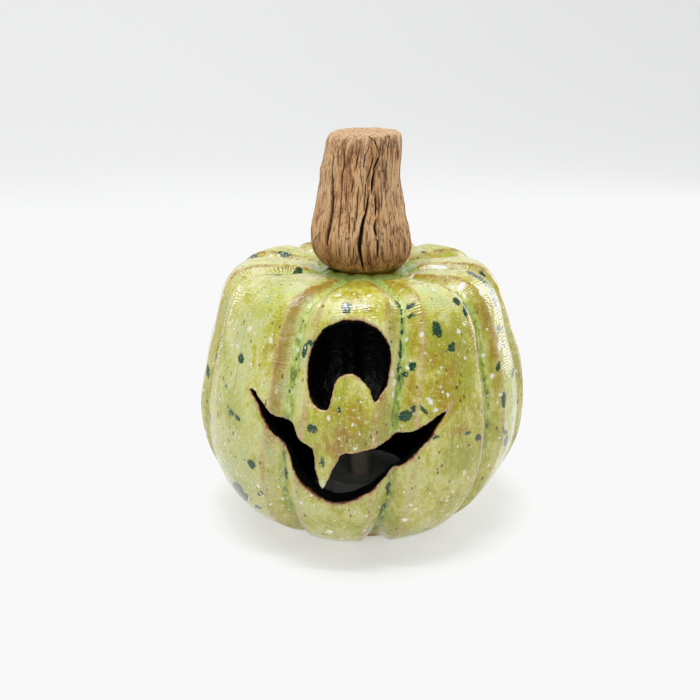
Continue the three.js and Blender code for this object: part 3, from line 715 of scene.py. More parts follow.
def foot(build, outer_ring, inner_ring):
    """Wiped flat ring, rolled up into the hollow and joined to the coarser inner face."""
    phi = row_phi(COLUMNS, 1.0)
    wave = 0.06 * np.sin(np.radians(phi * 3 + 40)) + 0.05 * np.sin(np.radians(phi * 7))
    last = outer_ring
    for radius, z, zone in FOOT:
        ring = build.add(phi, 1.0, zone=zone, place=(radius + wave * 3, z))
        build.tri.append(ring_strip(last, ring))
        last = ring
    even, odd = last[0::2], last[1::2]
    after = np.roll(inner_ring, -1)
    build.tri.append(np.stack([even, odd, inner_ring], 1))
    build.tri.append(np.stack([odd, np.roll(even, -1), after], 1))
    build.tri.append(np.stack([odd, after, inner_ring], 1))


def window_rows(rows, bottom):
    return [int(np.searchsorted(rows, station_of_z(z))) for z in (WINDOW_TOP, bottom)]


def shell():
    """Vertices in mm, glaze fields and triangles of the hollow pumpkin."""
    build = Builder()
    rows = np.linspace(S_POLE, 1.0, 172)
    outer, outer_holes = skin(
        build, COLUMNS, rows, (9, 2 * COLUMNS + 32, *window_rows(rows, 23.0)), spacing=0.78,
        rings=[(0.24, 0.42), (0.5, 0.46), (0.82, 0.52), (1.25, 0.62), (1.8, 0.74)],
        inset=0.0, share=1.0, zone=FACE, lip_radius=LIP_OUT, sign=1)
    rows = np.linspace(S_POLE, 1.0, 76)
    half = COLUMNS // 2
    inner, inner_holes = skin(
        build, half, rows, (4, 2 * half + 16, *window_rows(rows, 21.0)), spacing=1.7,
        rings=[(0.3, 0.5), (0.75, 0.9), (1.5, 1.3)],
        inset=WALL, share=INNER_SHARE, zone=HOLLOW, lip_radius=LIP_IN, sign=-1)
    for hole, outer_ring, inner_ring in zip(HOLES, outer_holes, inner_holes):
        cut_wall(build, hole, outer_ring, inner_ring)
    # the poles: under the stem, and the roof of the hollow
    top = build.add([0.0], [0.0])
    build.tri.append(pole_fan(int(top[0]), outer[0]))
    roof = build.add([0.0], [0.0], inset=WALL, share=INNER_SHARE, zone=HOLLOW)
    build.tri.append(pole_fan(int(roof[0]), inner[0]))
    foot(build, outer[-1], inner[-1])
    verts = np.vstack(build.verts)
    verts[:, :2] += SHIFT
    fields = {key: np.concatenate(values) for key, values in build.fields.items()}
    return verts, fields, np.vstack(build.tri)


def mesh_object(name, verts, faces, recalc=True):
    """Smooth object from vertices in mm and an array of triangles or quads."""
    mesh = bpy.data.meshes.new(name)
    mesh.vertices.add(len(verts))
    mesh.vertices.foreach_set("co", (np.asarray(verts) * MM).astype(np.float32).ravel())
    mesh.loops.add(faces.size)
    mesh.polygons.add(len(faces))
    mesh.loops.foreach_set("vertex_index", faces.ravel().astype(np.int32))
    starts = np.arange(len(faces)) * faces.shape[1]
    mesh.polygons.foreach_set("loop_start", starts.astype(np.int32))
    mesh.update(calc_edges=True)
    mesh.validate()
    if recalc:
        work = bmesh.new()
        work.from_mesh(mesh)
        bmesh.ops.recalc_face_normals(work, faces=work.faces)
        work.to_mesh(mesh)
        work.free()
    mesh.polygons.foreach_set("use_smooth", np.full(len(mesh.polygons), True))
    piece = bpy.data.objects.new(name, mesh)
    bpy.context.scene.collection.objects.link(piece)
    return piece


def put(piece, name, values):
    """Stores a value per vertex."""
    attribute = piece.data.attributes.new(name, "FLOAT", "POINT")
    attribute.data.foreach_set("value", np.asarray(values, np.float32))


# ---------------------------------------------------------------------- stem
STEM_FOOT, STEM_TOP = 99.6, 152.8
FRONT_COLUMNS, BACK_COLUMNS, STEM_ROWS = 312, 132, 198
# silhouette: (height, x of the left side, x of the right side)
STEM = [
    (STEM_FOOT, -9.6, 12.6), (101.2, -11.4, 14.6), (103.6, -15.2, 17.2), (107.5, -18.2, 19.1),
    (111.4, -19.3, 19.4), (116.1, -19.2, 18.6), (120.7, -18.4, 17.2), (125.3, -17.3, 16.6),
    (129.9, -16.6, 15.8), (134.4, -15.8, 15.1), (138.9, -15.4, 15.0), (145.0, -13.7, 15.5),
    (149.3, -12.9, 15.4), (151.8, -11.4, 14.8), (STEM_TOP, -9.4, 13.4)]
# rings that close the top: (share of the rim, drop in mm)
STEM_CAP = [
    (0.965, 0.02), (0.92, -0.05), (0.85, -0.22), (0.76, -0.45), (0.66, -0.68), (0.55, -0.86),
    (0.43, -0.98), (0.31, -1.05), (0.19, -1.09), (0.09, -1.1)]
# splits in the clay: (depth in mm, [(azimuth, height, half width in mm), ...])
CRACKS = [
    (2.6, [(11.4,131.1,.18), (9.0,127.8,.31), (5.8,123.8,.44), (2.6,119.7,.57),
           (-0.6,115.7,.66), (-2.2,111.5,.57), (-1.4,107.9,.4), (-0.6,103.8,.18)]),
    (1.6, [(24.2,145.2,.11), (21.8,144.5,.4), (19.8,142.5,.35), (18.6,140.4,.11)]),
    (2.0, [(19.4,140.4,.11), (18.6,138.3,.4), (17.4,135.5,.49), (16.2,133.1,.31),
           (15.0,131.4,.11)]),
    (1.6, [(21.4,131.4,.11), (20.6,129.8,.35), (19.8,126.9,.35), (19.4,124.8,.26),
           (19.0,123.2,.11)]),
    (2.0, [(19.4,122.7,.11), (19.4,121.5,.35), (17.8,119.1,.44), (18.6,117.0,.31),
           (18.6,115.8,.11)]),
    (1.8, [(18.6,115.8,.11), (19.0,114.6,.31), (18.6,112.5,.35), (17.8,110.3,.26),
           (18.2,108.5,.11)]),
    (0.7, [(19.4,133.1,.11), (20.6,129.8,.11)]),
    (1.1, [(45.8,152.7,.11), (41.4,152.1,.26), (36.6,147.9,.26), (36.2,143.0,.26),
           (36.6,136.8,.26), (35.8,132.6,.24), (35.0,129.0,.2), (35.0,125.3,.15),
           (38.6,120.9,.15), (41.4,116.7,.11)]),
    (0.9, [(61.8,152.3,.09), (55.0,151.5,.18), (48.2,146.9,.2), (48.6,141.5,.18),
           (47.8,135.6,.18), (43.4,129.2,.18), (45.0,123.2,.18), (49.8,118.4,.18),
           (55.0,111.8,.15), (59.8,108.8,.09)]),
    (0.6, [(25.0,152.0,.09), (24.2,151.2,.15), (23.4,145.2,.09)]),
    (0.7, [(-51.4,152.0,.11), (-41.0,146.6,.18), (-36.2,140.9,.11)]),
    (1.0, [(-38.6,151.1,.13), (-30.6,146.0,.22), (-26.6,140.3,.24), (-26.6,135.3,.22),
           (-25.8,130.4,.22), (-26.6,124.7,.24), (-25.4,119.0,.22), (-25.4,114.8,.13)]),
    (1.0, [(-49.0,144.8,.4), (-43.4,136.7,.53), (-39.8,130.1,.57), (-39.0,125.1,.66),
           (-39.0,119.3,.75), (-41.4,116.0,.75), (-42.6,111.6,.49)]),
    (0.7, [(-7.4,149.4,.13), (-8.6,144.2,.2), (-9.0,139.7,.13)]),
    (0.7, [(7.0,149.1,.13), (1.4,145.4,.2), (2.2,140.6,.13)]),
    (1.0, [(13.8,145.8,.13), (12.6,142.1,.24), (11.4,138.9,.24), (7.4,136.4,.13)]),
    (0.8, [(-10.2,135.9,.18), (-12.6,131.9,.18)]),
    (0.8, [(-2.2,134.7,.13), (-3.4,130.7,.24), (-4.6,124.5,.13)]),
    (0.5, [(-13.0,129.5,.13), (-12.6,125.3,.13)]),
    (1.1, [(-5.0,125.4,.22), (-4.2,122.1,.18)]),
    (0.7, [(-5.8,122.6,.18), (-6.2,118.1,.13)]),
    (0.6, [(-13.4,124.5,.15), (-12.6,118.4,.13)]),
    (0.8, [(7.0,135.6,.13), (6.2,130.7,.22), (3.8,125.4,.13)]),
    (0.6, [(13.0,124.1,.15), (11.0,120.0,.13)]),
    (0.9, [(62.6,122.9,.13), (65.8,116.7,.22), (74.0,111.6,.22), (80.0,108.8,.13)]),
    (0.6, [(62.2,134.3,.11), (63.4,133.4,.18), (64.2,127.8,.11)]),
    (1.0, [(-56.6,124.1,.22), (-59.8,121.4,.35), (-63.0,118.5,.18)]),
    (0.9, [(-57.8,115.1,.26), (-66.6,111.9,.18)]),
    (1.0, [(0.2,152.7,.13), (2.2,152.4,.26), (14.2,150.6,.22), (19.0,148.2,.15),
           (23.4,145.2,.15)]),
    (0.7, [(-13.8,113.4,.18), (-15.0,108.6,.13)]),
    (0.7, [(-8.2,113.1,.18), (-11.0,107.3,.13)]),
    (0.5, [(-24.6,112.7,.18), (-27.0,106.4,.13)]),
    (0.8, [(23.4,113.1,.18), (24.6,106.4,.13)]),
    (0.7, [(13.8,110.4,.18), (15.0,106.2,.13)]),
    (0.8, [(34.2,114.9,.18), (34.6,109.7,.11)]),
    (0.45, [(-19.0,138.8,.11), (-19.4,133.1,.18), (-19.0,124.8,.11)]),
    (0.5, [(29.8,138.6,.11), (29.0,132.8,.18), (27.4,124.7,.11)]),
    (0.5, [(3.4,138.9,.11), (0.6,135.6,.11)]),
]


def back_cracks(count=46, points=7):
    """Tool lines and splits round the sides and back."""
    rng = np.random.RandomState(11)
    out = []
    for k in range(count):
        start = 84 + 192 * (k + rng.uniform(0.1, 0.9)) / count
        top = rng.uniform(128, 152)
        bottom = max(top - rng.uniform(14, 44), 104.5)
        heights = np.linspace(top, bottom, points)
        swell = 0.55 + 0.45 * np.sin(np.linspace(0.3, math.pi - 0.3, points))
        width = rng.uniform(0.13, 0.3) * swell
        drift = np.cumsum(rng.uniform(-1.6, 1.6, points))
        big = rng.rand() < 0.16
        depth = rng.uniform(1.2, 2.2) if big else rng.uniform(0.45, 0.95)
        width = width * (1.7 if big else 1)
        out.append((depth, list(zip(start + drift, heights, width))))
    return out


def stem_relief(points, height):
    """Ribs pulled up by the tool, slow hand-made swells and grain."""
    twist = 1.6 * noise3(points / [60.0, 60.0, 14.0], 41)
    pulled = points + np.stack([twist, twist * 0.6, 0 * twist], 1)
    rib = noise3(pulled / [2.9, 2.9, 46.0], 43)
    fine_rib = noise3(pulled / [1.05, 1.05, 21.0], 44)
    swell = rough_noise(points / [11.0, 11.0, 17.0], 45)
    grain = noise3(points / [0.9, 0.9, 1.6], 46)
    ends = (smoothstep(0, 6, height - STEM_FOOT)
            * (0.35 + 0.65 * smoothstep(0, 3.5, STEM_TOP - height)))
    valley = np.clip(-fine_rib - 0.15, 0, 1)
    return (0.34 * rib - 0.60 * valley + 0.42 * swell) * ends + 0.06 * grain


def stem_splits(points, angle, height, radius):
    """Depth of the splits, their raised rims and the painted shade inside them."""
    cut, rim, tone = np.zeros((3, len(points)))
    wobble = 0.14 * noise3(points / [4.0, 4.0, 2.4], 47)
    for depth, line in CRACKS + back_cracks():
        path = np.array(sorted(line, key=lambda point: point[1]))
        low, high = path[0, 1] - 0.5, path[-1, 1] + 0.5
        here = (height > low) & (height < high)
        z = height[here]
        centre = np.interp(z, path[:, 1], path[:, 0])
        half = np.interp(z, path[:, 1], path[:, 2]) * 1.12 + 0.05
        tip = np.clip(np.minimum(z - low, high - z) / 1.6, 0, 1)
        off = np.abs(wrapped(angle[here] - centre) * radius[here] + wobble[here]) / half
        cut[here] = np.maximum(cut[here], depth * tip * np.clip(1.25 - off, 0, 1) ** 0.8)
        rim[here] = np.maximum(rim[here], 0.13 * tip * np.exp(-((off - 1.9) / 0.7) ** 2))
        tone[here] = np.maximum(tone[here], tip * np.clip(1.15 - off * 0.8, 0, 1)
                                * min(1.0, 0.45 + 0.3 * depth))
    return cut, rim, tone


def stem_strip(first, second):
    return ring_strip(first, second)[:, [0, 2, 1]]


def stem():
    """Vertices in mm, triangles, painted shade of the splits and height of the surface."""
    azimuth = np.concatenate([np.linspace(-88, 88, FRONT_COLUMNS, endpoint=False),
                              np.linspace(88, 272, BACK_COLUMNS, endpoint=False)])
    columns = len(azimuth)
    line = catmull(STEM, 10)
    run = run_length(np.hypot(np.diff(line[:, 0]), np.diff(line[:, 2] - line[:, 1]) / 2))
    places = np.linspace(0, run[-1], STEM_ROWS)
    z, left, right = (np.interp(places, run, line[:, k]) for k in range(3))
    angle = np.tile(azimuth, STEM_ROWS)
    height = np.repeat(z, columns)
    radius = np.repeat((right - left) / 2, columns)
    points = polar(radius, angle, height)
    raised = stem_relief(points, height)
    cut, rim, tone = stem_splits(points, angle, height, radius)
    fade = smoothstep(-0.2, 2.0, STEM_TOP - height) * 0.75 + 0.25
    grow = 1 + (raised + rim - cut * fade) / np.maximum(radius, 5)
    side = np.stack([np.repeat((left + right) / 2, columns) + points[:, 0] * grow,
                     points[:, 1] * grow, height], 1)
    side[:, 2] -= (0.25 * np.abs(noise3(points / 3.0, 48))
                   * smoothstep(150.5, STEM_TOP, height))
    verts = [side]
    dark = [tone]
    bump = [np.clip(0.5 + 0.5 * (raised + rim * 2) / 0.6, 0, 1)]
    ring = np.arange(columns)
    tri = [stem_strip(i * columns + ring, (i + 1) * columns + ring)
           for i in range(STEM_ROWS - 1)]
    # the dished top
    count = STEM_ROWS * columns
    last = count - columns + ring
    top = side[-columns:]
    centre = top.mean(0)
    # the painted shade of the splits runs on over the rim of the cap
    mark = tone[-columns:] * 0.8
    for share, drop in STEM_CAP:
        cap = centre + (top - centre) * [share, share, 1] + [0, 0, drop]
        bumps = (rough_noise(cap / [2.2, 2.2, 9.0], 49) * 0.22
                 * min(1, (1 - share) * 6) * min(1, share * 4))
        cap[:, 2] = np.minimum(
            cap[:, 2] + bumps - 0.5 * mark * min(1, (1 - share) * 8) * share, STEM_TOP)
        verts.append(cap)
        dark.append(mark * max(0, share * 1.6 - 0.75))
        bump.append(np.full(columns, 0.55) + bumps)
        tri.append(stem_strip(last, count + ring))
        last = count + ring
        count += columns
    verts.append(centre[None] + [[0, 0, STEM_CAP[-1][1]]])
    tri.append(np.stack([last, np.roll(last, -1), np.full(columns, count)], 1))
    count += 1
    # the underside
    low = side[:columns]
    middle = low.mean(0)
    verts += [middle + (low - middle) * [share, share, 1] for share in (0.8, 0.4)]
    verts.append(middle[None])
    outer = count + ring
    inner = outer + columns
    tri.append(stem_strip(outer, ring))
    tri.append(stem_strip(inner, outer))
    tri.append(np.stack([np.roll(inner, -1), inner, np.full(columns, count + 2 * columns)], 1))
    flat = 2 * columns + 1
    verts = np.vstack(verts)
    verts[:, :2] += SHIFT
    return (verts, np.vstack(tri), np.concatenate([*dark, [0.0], np.zeros(flat)]),
            np.concatenate([*bump, [0.5], np.full(flat, 0.5)]))


# ---------------------------------------------------------- material helpers
def rgb(*levels):
    """Linear colour from sRGB levels 0..255."""
    shares = [level / 255.0 for level in levels]
    return (*[c / 12.92 if c <= 0.04045 else ((c + 0.055) / 1.055) ** 2.4 for c in shares], 1)


class Value:
    """A shader output that can be added, subtracted and multiplied."""

    def __init__(self, socket):
        self.socket = socket

    def __add__(self, other):
        return math_node("ADD", self, other)

    def __radd__(self, other):
        return math_node("ADD", other, self)

    def __sub__(self, other):
        return math_node("SUBTRACT", self, other)

    def __mul__(self, other):
        return math_node("MULTIPLY", self, other)


def begin(name):
    """Starts a material; the functions below add their nodes to it until finish."""
    global material, tree, object_mm
    material = bpy.data.materials.new(name)
    material.use_nodes = True
    tree = material.node_tree
    tree.nodes.clear()
    scaled = node("ShaderNodeVectorMath", operation="SCALE")
    plug(Value(node("ShaderNodeTexCoord").outputs["Object"]), scaled.inputs[0])
    scaled.inputs["Scale"].default_value = 1000.0
    object_mm = Value(scaled.outputs[0])


def node(kind, **properties):
    made = tree.nodes.new(kind)
    for key, value in properties.items():
        setattr(made, key, value)
    return made


def plug(value, socket):
    if isinstance(value, Value):
        tree.links.new(value.socket, socket)
    else:
        socket.default_value = value


def math_node(operation, first, second=0.0, clamp=False):
    made = node("ShaderNodeMath", operation=operation, use_clamp=clamp)
    for socket, value in zip(made.inputs, (first, second, 0.0)):
        plug(value, socket)
    return Value(made.outputs[0])


def vector_math(operation, *values, output=0):
    made = node("ShaderNodeVectorMath", operation=operation)
    for socket, value in zip(made.inputs, values):
        plug(value, socket)
    return Value(made.outputs[output])


def absolute(value):
    return math_node("ABSOLUTE", value)


def larger(first, second):
    return math_node("MAXIMUM", first, second)


def vary(pattern, amount):
    """A 0..1 pattern as a swing about zero."""
    return (pattern - 0.5) * amount


def step(value, start, end, low=0.0, high=1.0):
    """Smooth step from low at start to high at end; start may be the larger."""
    made = node("ShaderNodeMapRange", interpolation_type="SMOOTHSTEP")
    for socket, given in zip(made.inputs, (value, start, end, low, high)):
        plug(given, socket)
    return Value(made.outputs[0])


def ramp(value, stops):
    made = node("ShaderNodeValToRGB")
    elements = made.color_ramp.elements
    while len(elements) > 1:
        elements.remove(elements[-1])
    elements[0].position, elements[0].color = stops[0]
    for position, colour in stops[1:]:
        elements.new(position).color = colour
    plug(value, made.inputs[0])
    return Value(made.outputs[0])


def mix(amount, under, over, blend="MIX"):
    """Colour mix."""
    made = node("ShaderNodeMix", data_type="RGBA", blend_type=blend)
    for index, value in ((0, amount), (6, under), (7, over)):
        plug(value, made.inputs[index])
    return Value(made.outputs[2])


def blend_values(amount, under, over):
    made = node("ShaderNodeMix", data_type="FLOAT")
    for index, value in ((0, amount), (2, under), (3, over)):
        plug(value, made.inputs[index])
    return Value(made.outputs[0])


def place(x=1.0, y=1.0, z=1.0, shift=0.0):
    """Object position in mm, multiplied on each axis and moved to its own patch."""
    return vector_math("MULTIPLY_ADD", object_mm, (x, y, z), (shift, shift * 0.7, -shift))


def axes():
    split = node("ShaderNodeSeparateXYZ")
    plug(object_mm, split.inputs[0])
    return [Value(output) for output in split.outputs]


def noise_at(vector, scale, detail=2.0, rough=0.5, bend=0.0):
    made = node("ShaderNodeTexNoise")
    settings = dict(Vector=vector, Scale=scale, Detail=detail, Roughness=rough, Distortion=bend)
    for key, value in settings.items():
        plug(value, made.inputs[key])
    return Value(made.outputs[0])


def noise(size, detail=2.0, rough=0.5, bend=0.0, **where):
    """Noise with features of a size in mm; where goes to place."""
    return noise_at(place(**where), 1 / size, detail, rough, bend)


def specks(pitch, radius, share, soft=0.25, ragged=0.0, **where):
    """Round specks: pitch in mm, radius in cells, share of the cells that hold one."""
    vector = place(**where)
    cells = node("ShaderNodeTexVoronoi")
    plug(vector, cells.inputs["Vector"])
    cells.inputs["Scale"].default_value = 1 / pitch
    split = node("ShaderNodeSeparateColor")
    plug(Value(cells.outputs["Color"]), split.inputs[0])
    distance = Value(cells.outputs["Distance"])
    chance, size = Value(split.outputs[0]), Value(split.outputs[1])
    if ragged:
        distance = distance + vary(noise_at(vector, 1 / pitch * 3.2), ragged)
    reach = (step(chance, 1 - share, 1 - share + 0.02)
             * (size * (radius * 0.6) + radius * 0.4))
    return step(reach - distance, 0.0, radius * soft)


def attribute(name):
    return Value(node("ShaderNodeAttribute", attribute_name=name).outputs["Fac"])


def bump(height, strength=1.0):
    """Surface normal from a height in mm."""
    made = node("ShaderNodeBump")
    plug(height, made.inputs["Height"])
    made.inputs["Strength"].default_value = strength
    made.inputs["Distance"].default_value = MM
    return Value(made.outputs[0])


def finish(colour, rough, normal=None, metallic=0.0, specular=0.5, ior=1.5, **more):
    made = node("ShaderNodeBsdfPrincipled")
    settings = {"Base Color": colour, "Roughness": rough, "Metallic": metallic,
                "Specular IOR Level": specular, "IOR": ior}
    settings.update((key.replace("_", " "), value) for key, value in more.items())
    if normal is not None:
        settings["Normal"] = normal
    for key, value in settings.items():
        plug(value, made.inputs[key])
    output = node("ShaderNodeOutputMaterial")
    plug(Value(made.outputs[0]), output.inputs[0])
    return material


# --------------------------------------------------------------------- glaze
MINT = rgb(186, 200, 136)
CREAM = rgb(208, 206, 128)
YELLOW = rgb(184, 180, 62)
OLIVE = rgb(162, 150, 26)
OCHRE = rgb(160, 122, 10)
BROWN = rgb(132, 86, 4)
LIME = rgb(150, 170, 44)
PALE = rgb(212, 212, 144)
TAN, TAN_LIGHT = rgb(108, 72, 12), rgb(152, 110, 42)
PINK, PINK_LIGHT = rgb(166, 132, 80), rgb(206, 180, 132)
POOL_DARK, POOL, POOL_LIGHT = rgb(64, 96, 28), rgb(136, 158, 50), rgb(190, 212, 128)
HALO, HALO_LIGHT = rgb(160, 122, 74), rgb(200, 170, 122)
BURNT, BURNT_LIGHT = rgb(92, 44, 18), rgb(150, 84, 40)
WHITE, WHITE_DULL = rgb(244, 242, 230), rgb(216, 214, 184)
GREEN_DARK, GREEN, TEAL = rgb(14, 42, 24), rgb(30, 68, 36), rgb(70, 112, 70)
FLECK = rgb(126, 88, 26)
IRON, IRON_LIGHT = rgb(70, 34, 12), rgb(118, 72, 22)
RUST = rgb(120, 58, 30)
GLASSY = rgb(200, 210, 160)
HOLLOW_DARK, HOLLOW_LIGHT = rgb(7, 10, 9), rgb(15, 19, 16)
FOOT_DARK, FOOT_LIGHT, FOOT_SPECK = rgb(150, 112, 74), rgb(196, 160, 118), rgb(80, 50, 30)
LOW_PAINTED_SHADE = (0.76, 0.73, 0.60, 1)  # painted shade: multiplies the glaze darker low on the shell


def glaze_body(big, med, fine, flow, wisp):
    """How thin the glaze runs, and its colour from thick and green to thin and brown."""
    thin = (attribute("och") * 0.62 + vary(med, 1.05) + vary(big, 0.9) + vary(flow, 0.7)
            + vary(fine, 0.22) + 0.30)
    body = ramp(thin, [(0.0, MINT), (0.22, CREAM), (0.42, YELLOW), (0.60, OLIVE),
                       (0.80, OCHRE), (1.0, BROWN)])
    body = mix(step(big + wisp * 0.3, 0.60, 0.78) * 0.55, body, LIME)
    # pale wisps where the glaze curdled
    body = mix(step(wisp, 0.56, 0.74) * 0.42, body, PALE)
    curd = noise(size=0.75, detail=3, rough=0.7, z=0.6, shift=95.0)
    body = mix(step(curd, 0.51, 0.36, high=0.45), body, OLIVE)
    body = mix(step(curd, 0.53, 0.66, high=0.50), body, PALE)
    # warm stains round the iron
    stain = noise(size=3.1, detail=3, rough=0.6, z=0.5, shift=61.0)
    return thin, mix(step(stain, 0.60, 0.72) * 0.38, body, OCHRE)


def glaze_bevels(body, gap, bevel, station, big, med, flow, grit):
    """Bevels that shed their glaze, and the ridges between bevel and face."""
    across = noise(size=1.5, detail=3, rough=0.6, x=0.28, y=0.28, z=1.35, shift=86.0)
    bare = attribute("tan")
    inner = bevel * 0.42 + vary(med, 2.2) + vary(across, 1.8)
    shed = (bare * step(gap, bevel + 0.55, bevel - 0.25) * step(gap - inner, -1.3, 1.3)
            * step(station + vary(big, 0.12), 0.66, 0.50, low=0.12))
    patchy = step(grit * 0.35 + med * 0.4 + across * 0.4, 0.36, 0.64, low=0.60)
    body = mix(shed * patchy, body,
               mix(step(grit * 0.5 + across * 0.5, 0.36, 0.64), TAN, TAN_LIGHT))
    near = step(gap, bevel + 1.6, bevel + 0.2)
    dash = (specks(pitch=1.9, radius=0.19, share=0.75, soft=0.5, ragged=0.1,
                   x=0.42, y=0.42, z=1.5, shift=88.0)
            * near * step(gap, bevel * 0.35, bevel * 0.7))
    body = mix(dash * (0.35 + bare * 0.5), body, IRON)
    off = absolute(gap - (bevel + 0.35))
    ridge = (step(off + vary(med, 1.5) + vary(grit, 1.3), 1.75, 0.35)
             * step(station, 0.13, 0.2) * step(flow + big * 0.6, 0.60, 0.95, low=0.42)
             * step(noise(size=4.6, z=0.3, shift=83.0), 0.36, 0.52, low=0.30))
    pink = mix(step(grit * 0.5 + across * 0.5, 0.38, 0.62), PINK, PINK_LIGHT)
    pink = mix(step(station, 0.36, 0.27), pink, mix(across, BROWN, TAN_LIGHT))
    body = mix(ridge * 0.95, body, pink)
    streak = specks(pitch=1.7, radius=0.20, share=0.45, soft=0.5, ragged=0.25, z=0.28,
                    shift=97.0) * step(off, 1.6, 0.5)
    return mix(streak * 0.7, body, RUST), shed, ridge


def glaze_pools(body, gap, station, med, fine, wisp, grit):
    """Glaze run together in the grooves, with an ochre edge."""
    widen = (step(station, 0.26, 0.12, high=1.3) + med * 1.7 + wisp * 0.5
             + step(absolute(station - 0.47), 0.20, 0.05, high=0.8) + -0.25)
    pool = step(gap - widen + vary(grit, 0.9), 1.0, -0.5)
    pool = pool * step(station, 0.05, 0.09)
    tone = (noise(size=2.0, detail=3, rough=0.6, z=0.35, shift=19.0) * 0.9 + fine * 0.2
            + step(station + med * 0.1, 0.36, 0.50, low=0.03, high=-0.09))
    colour = ramp(tone, [(0.34, POOL_DARK), (0.46, POOL), (0.62, POOL_LIGHT), (0.8, CREAM)])
    body = mix(pool * 0.82, body, colour)
    edge = step(absolute(gap - widen - 0.75), 0.5, 0.0) * step(station, 0.1, 0.16)
    return mix(edge * 0.28, body, OCHRE), pool


def glaze_crown(body, pool, med, wisp, grit):
    """Toes of the lobes and the collar round the stem."""
    ring = attribute("ring")
    toe = step(ring, 28.0, 20.5) * math_node("SUBTRACT", 1.0, pool, clamp=True)
    body = mix(toe * step(med, 0.3, 0.6, low=0.35, high=0.85), body, mix(grit, OCHRE, BROWN))
    ragged = ring + vary(med, 2.4)
    body = mix(step(ragged, 20.4, 18.8), body, mix(wisp, POOL, POOL_LIGHT))
    return mix(step(ragged, 14.9, 13.9), body, BROWN)


def glaze_cuts(body, med, grit, rim_noise):
    """Round the carved openings: a bare buff halo, then a burnt line."""
    edge = attribute("ed")
    halo = (step(edge + vary(med, 1.1) + vary(grit, 0.9), 1.35, 0.45)
            * step(noise(size=7.0, detail=1, shift=58.0), 0.36, 0.58, low=0.35))
    body = mix(halo * 0.82, body, mix(step(grit, 0.3, 0.7), HALO, HALO_LIGHT))
    cut = attribute("cut") + vary(grit, 0.3)
    body = mix(step(cut, 1.3, 0.3) * 0.75, body, HALO_LIGHT)
    body = mix(step(cut, 0.36, 0.12) * 0.8, body, BURNT)
    return mix(step(edge + vary(rim_noise, 0.5), 0.30, 0.02), body, BURNT), halo


def glaze_blooms(body, gap, station):
    """White blooms, some of them painted glints, dark green blooms, green dots in the grooves and
    the tooth's drop.
    """
    white_dist, green_dist = attribute("sw"), attribute("sg")
    curd = noise(size=0.7, detail=3, rough=0.6, shift=31.0)
    white = step(white_dist + vary(curd, 1.1), 0.16, -0.16)
    body = mix(white * 0.9, body, mix(curd, WHITE_DULL, WHITE))
    fray = noise(size=0.55, detail=3, rough=0.7, z=0.7, shift=53.0)
    slow = noise(size=2.0, shift=57.0)
    green = step(green_dist + vary(fray, 2.3) + vary(slow, 1.9) + -0.1, 0.18, -0.18)
    tint = step(green_dist + vary(fray, 2.6), 0.9, -0.5)
    body = mix(tint * 0.38, body, TEAL)
    body = mix(green, body, ramp(fray * 0.7 + slow * 0.35,
                                 [(0.3, GREEN_DARK), (0.55, GREEN), (0.8, TEAL)]))
    dots = (specks(pitch=1.5, radius=0.42, share=0.50, soft=0.4, ragged=0.35, z=0.7, shift=13.0)
            * step(gap, 1.3, 0.6) * step(noise(size=9.0, detail=1, shift=15.0), 0.38, 0.52)
            * step(station, 0.05, 0.10))
    body = mix(dots * 0.9, body, GREEN)
    drop = step(attribute("tip") + vary(curd, 0.7), 0.30, 0.72)
    return mix(drop * 0.8, body, GLASSY), white, green


def glaze_specks(body, thin, fine):
    """Iron specks, then white ones."""
    iron = specks(pitch=2.9, radius=0.23, share=0.9, soft=0.4, ragged=0.15, z=0.62, shift=2.0)
    small = specks(pitch=1.25, radius=0.24, share=0.75, soft=0.5, z=0.8, shift=9.0)
    dust = specks(pitch=0.8, radius=0.30, share=0.60, soft=0.5, z=0.9, shift=93.0)
    body = mix(dust * step(thin, 0.30, 0.62, low=0.10, high=0.5), body, FLECK)
    long = specks(pitch=5.0, radius=0.16, share=0.8, soft=0.5, ragged=0.14, z=0.40, shift=33.0)
    body = mix(small * step(thin, 0.30, 0.6, low=0.35, high=0.8), body, IRON_LIGHT)
    body = mix(larger(iron, long) * 0.93, body, mix(fine, IRON, IRON_LIGHT))
    crowd = larger(step(noise(size=14.0, shift=90.0), 0.40, 0.62, low=0.3), attribute("many"))
    medium = specks(pitch=2.3, radius=0.25, share=0.7, soft=0.35, ragged=0.45, z=0.8,
                    shift=47.0) * crowd
    tiny = specks(pitch=1.15, radius=0.30, share=0.50, soft=0.5, shift=67.0) * crowd
    large = specks(pitch=5.4, radius=0.22, share=0.6, soft=0.3, ragged=0.5, z=0.7,
                   shift=71.0) * crowd
    white = larger(larger(medium * 0.85, tiny * 0.7), large * 0.85)
    return mix(white, body, WHITE), iron, long, white


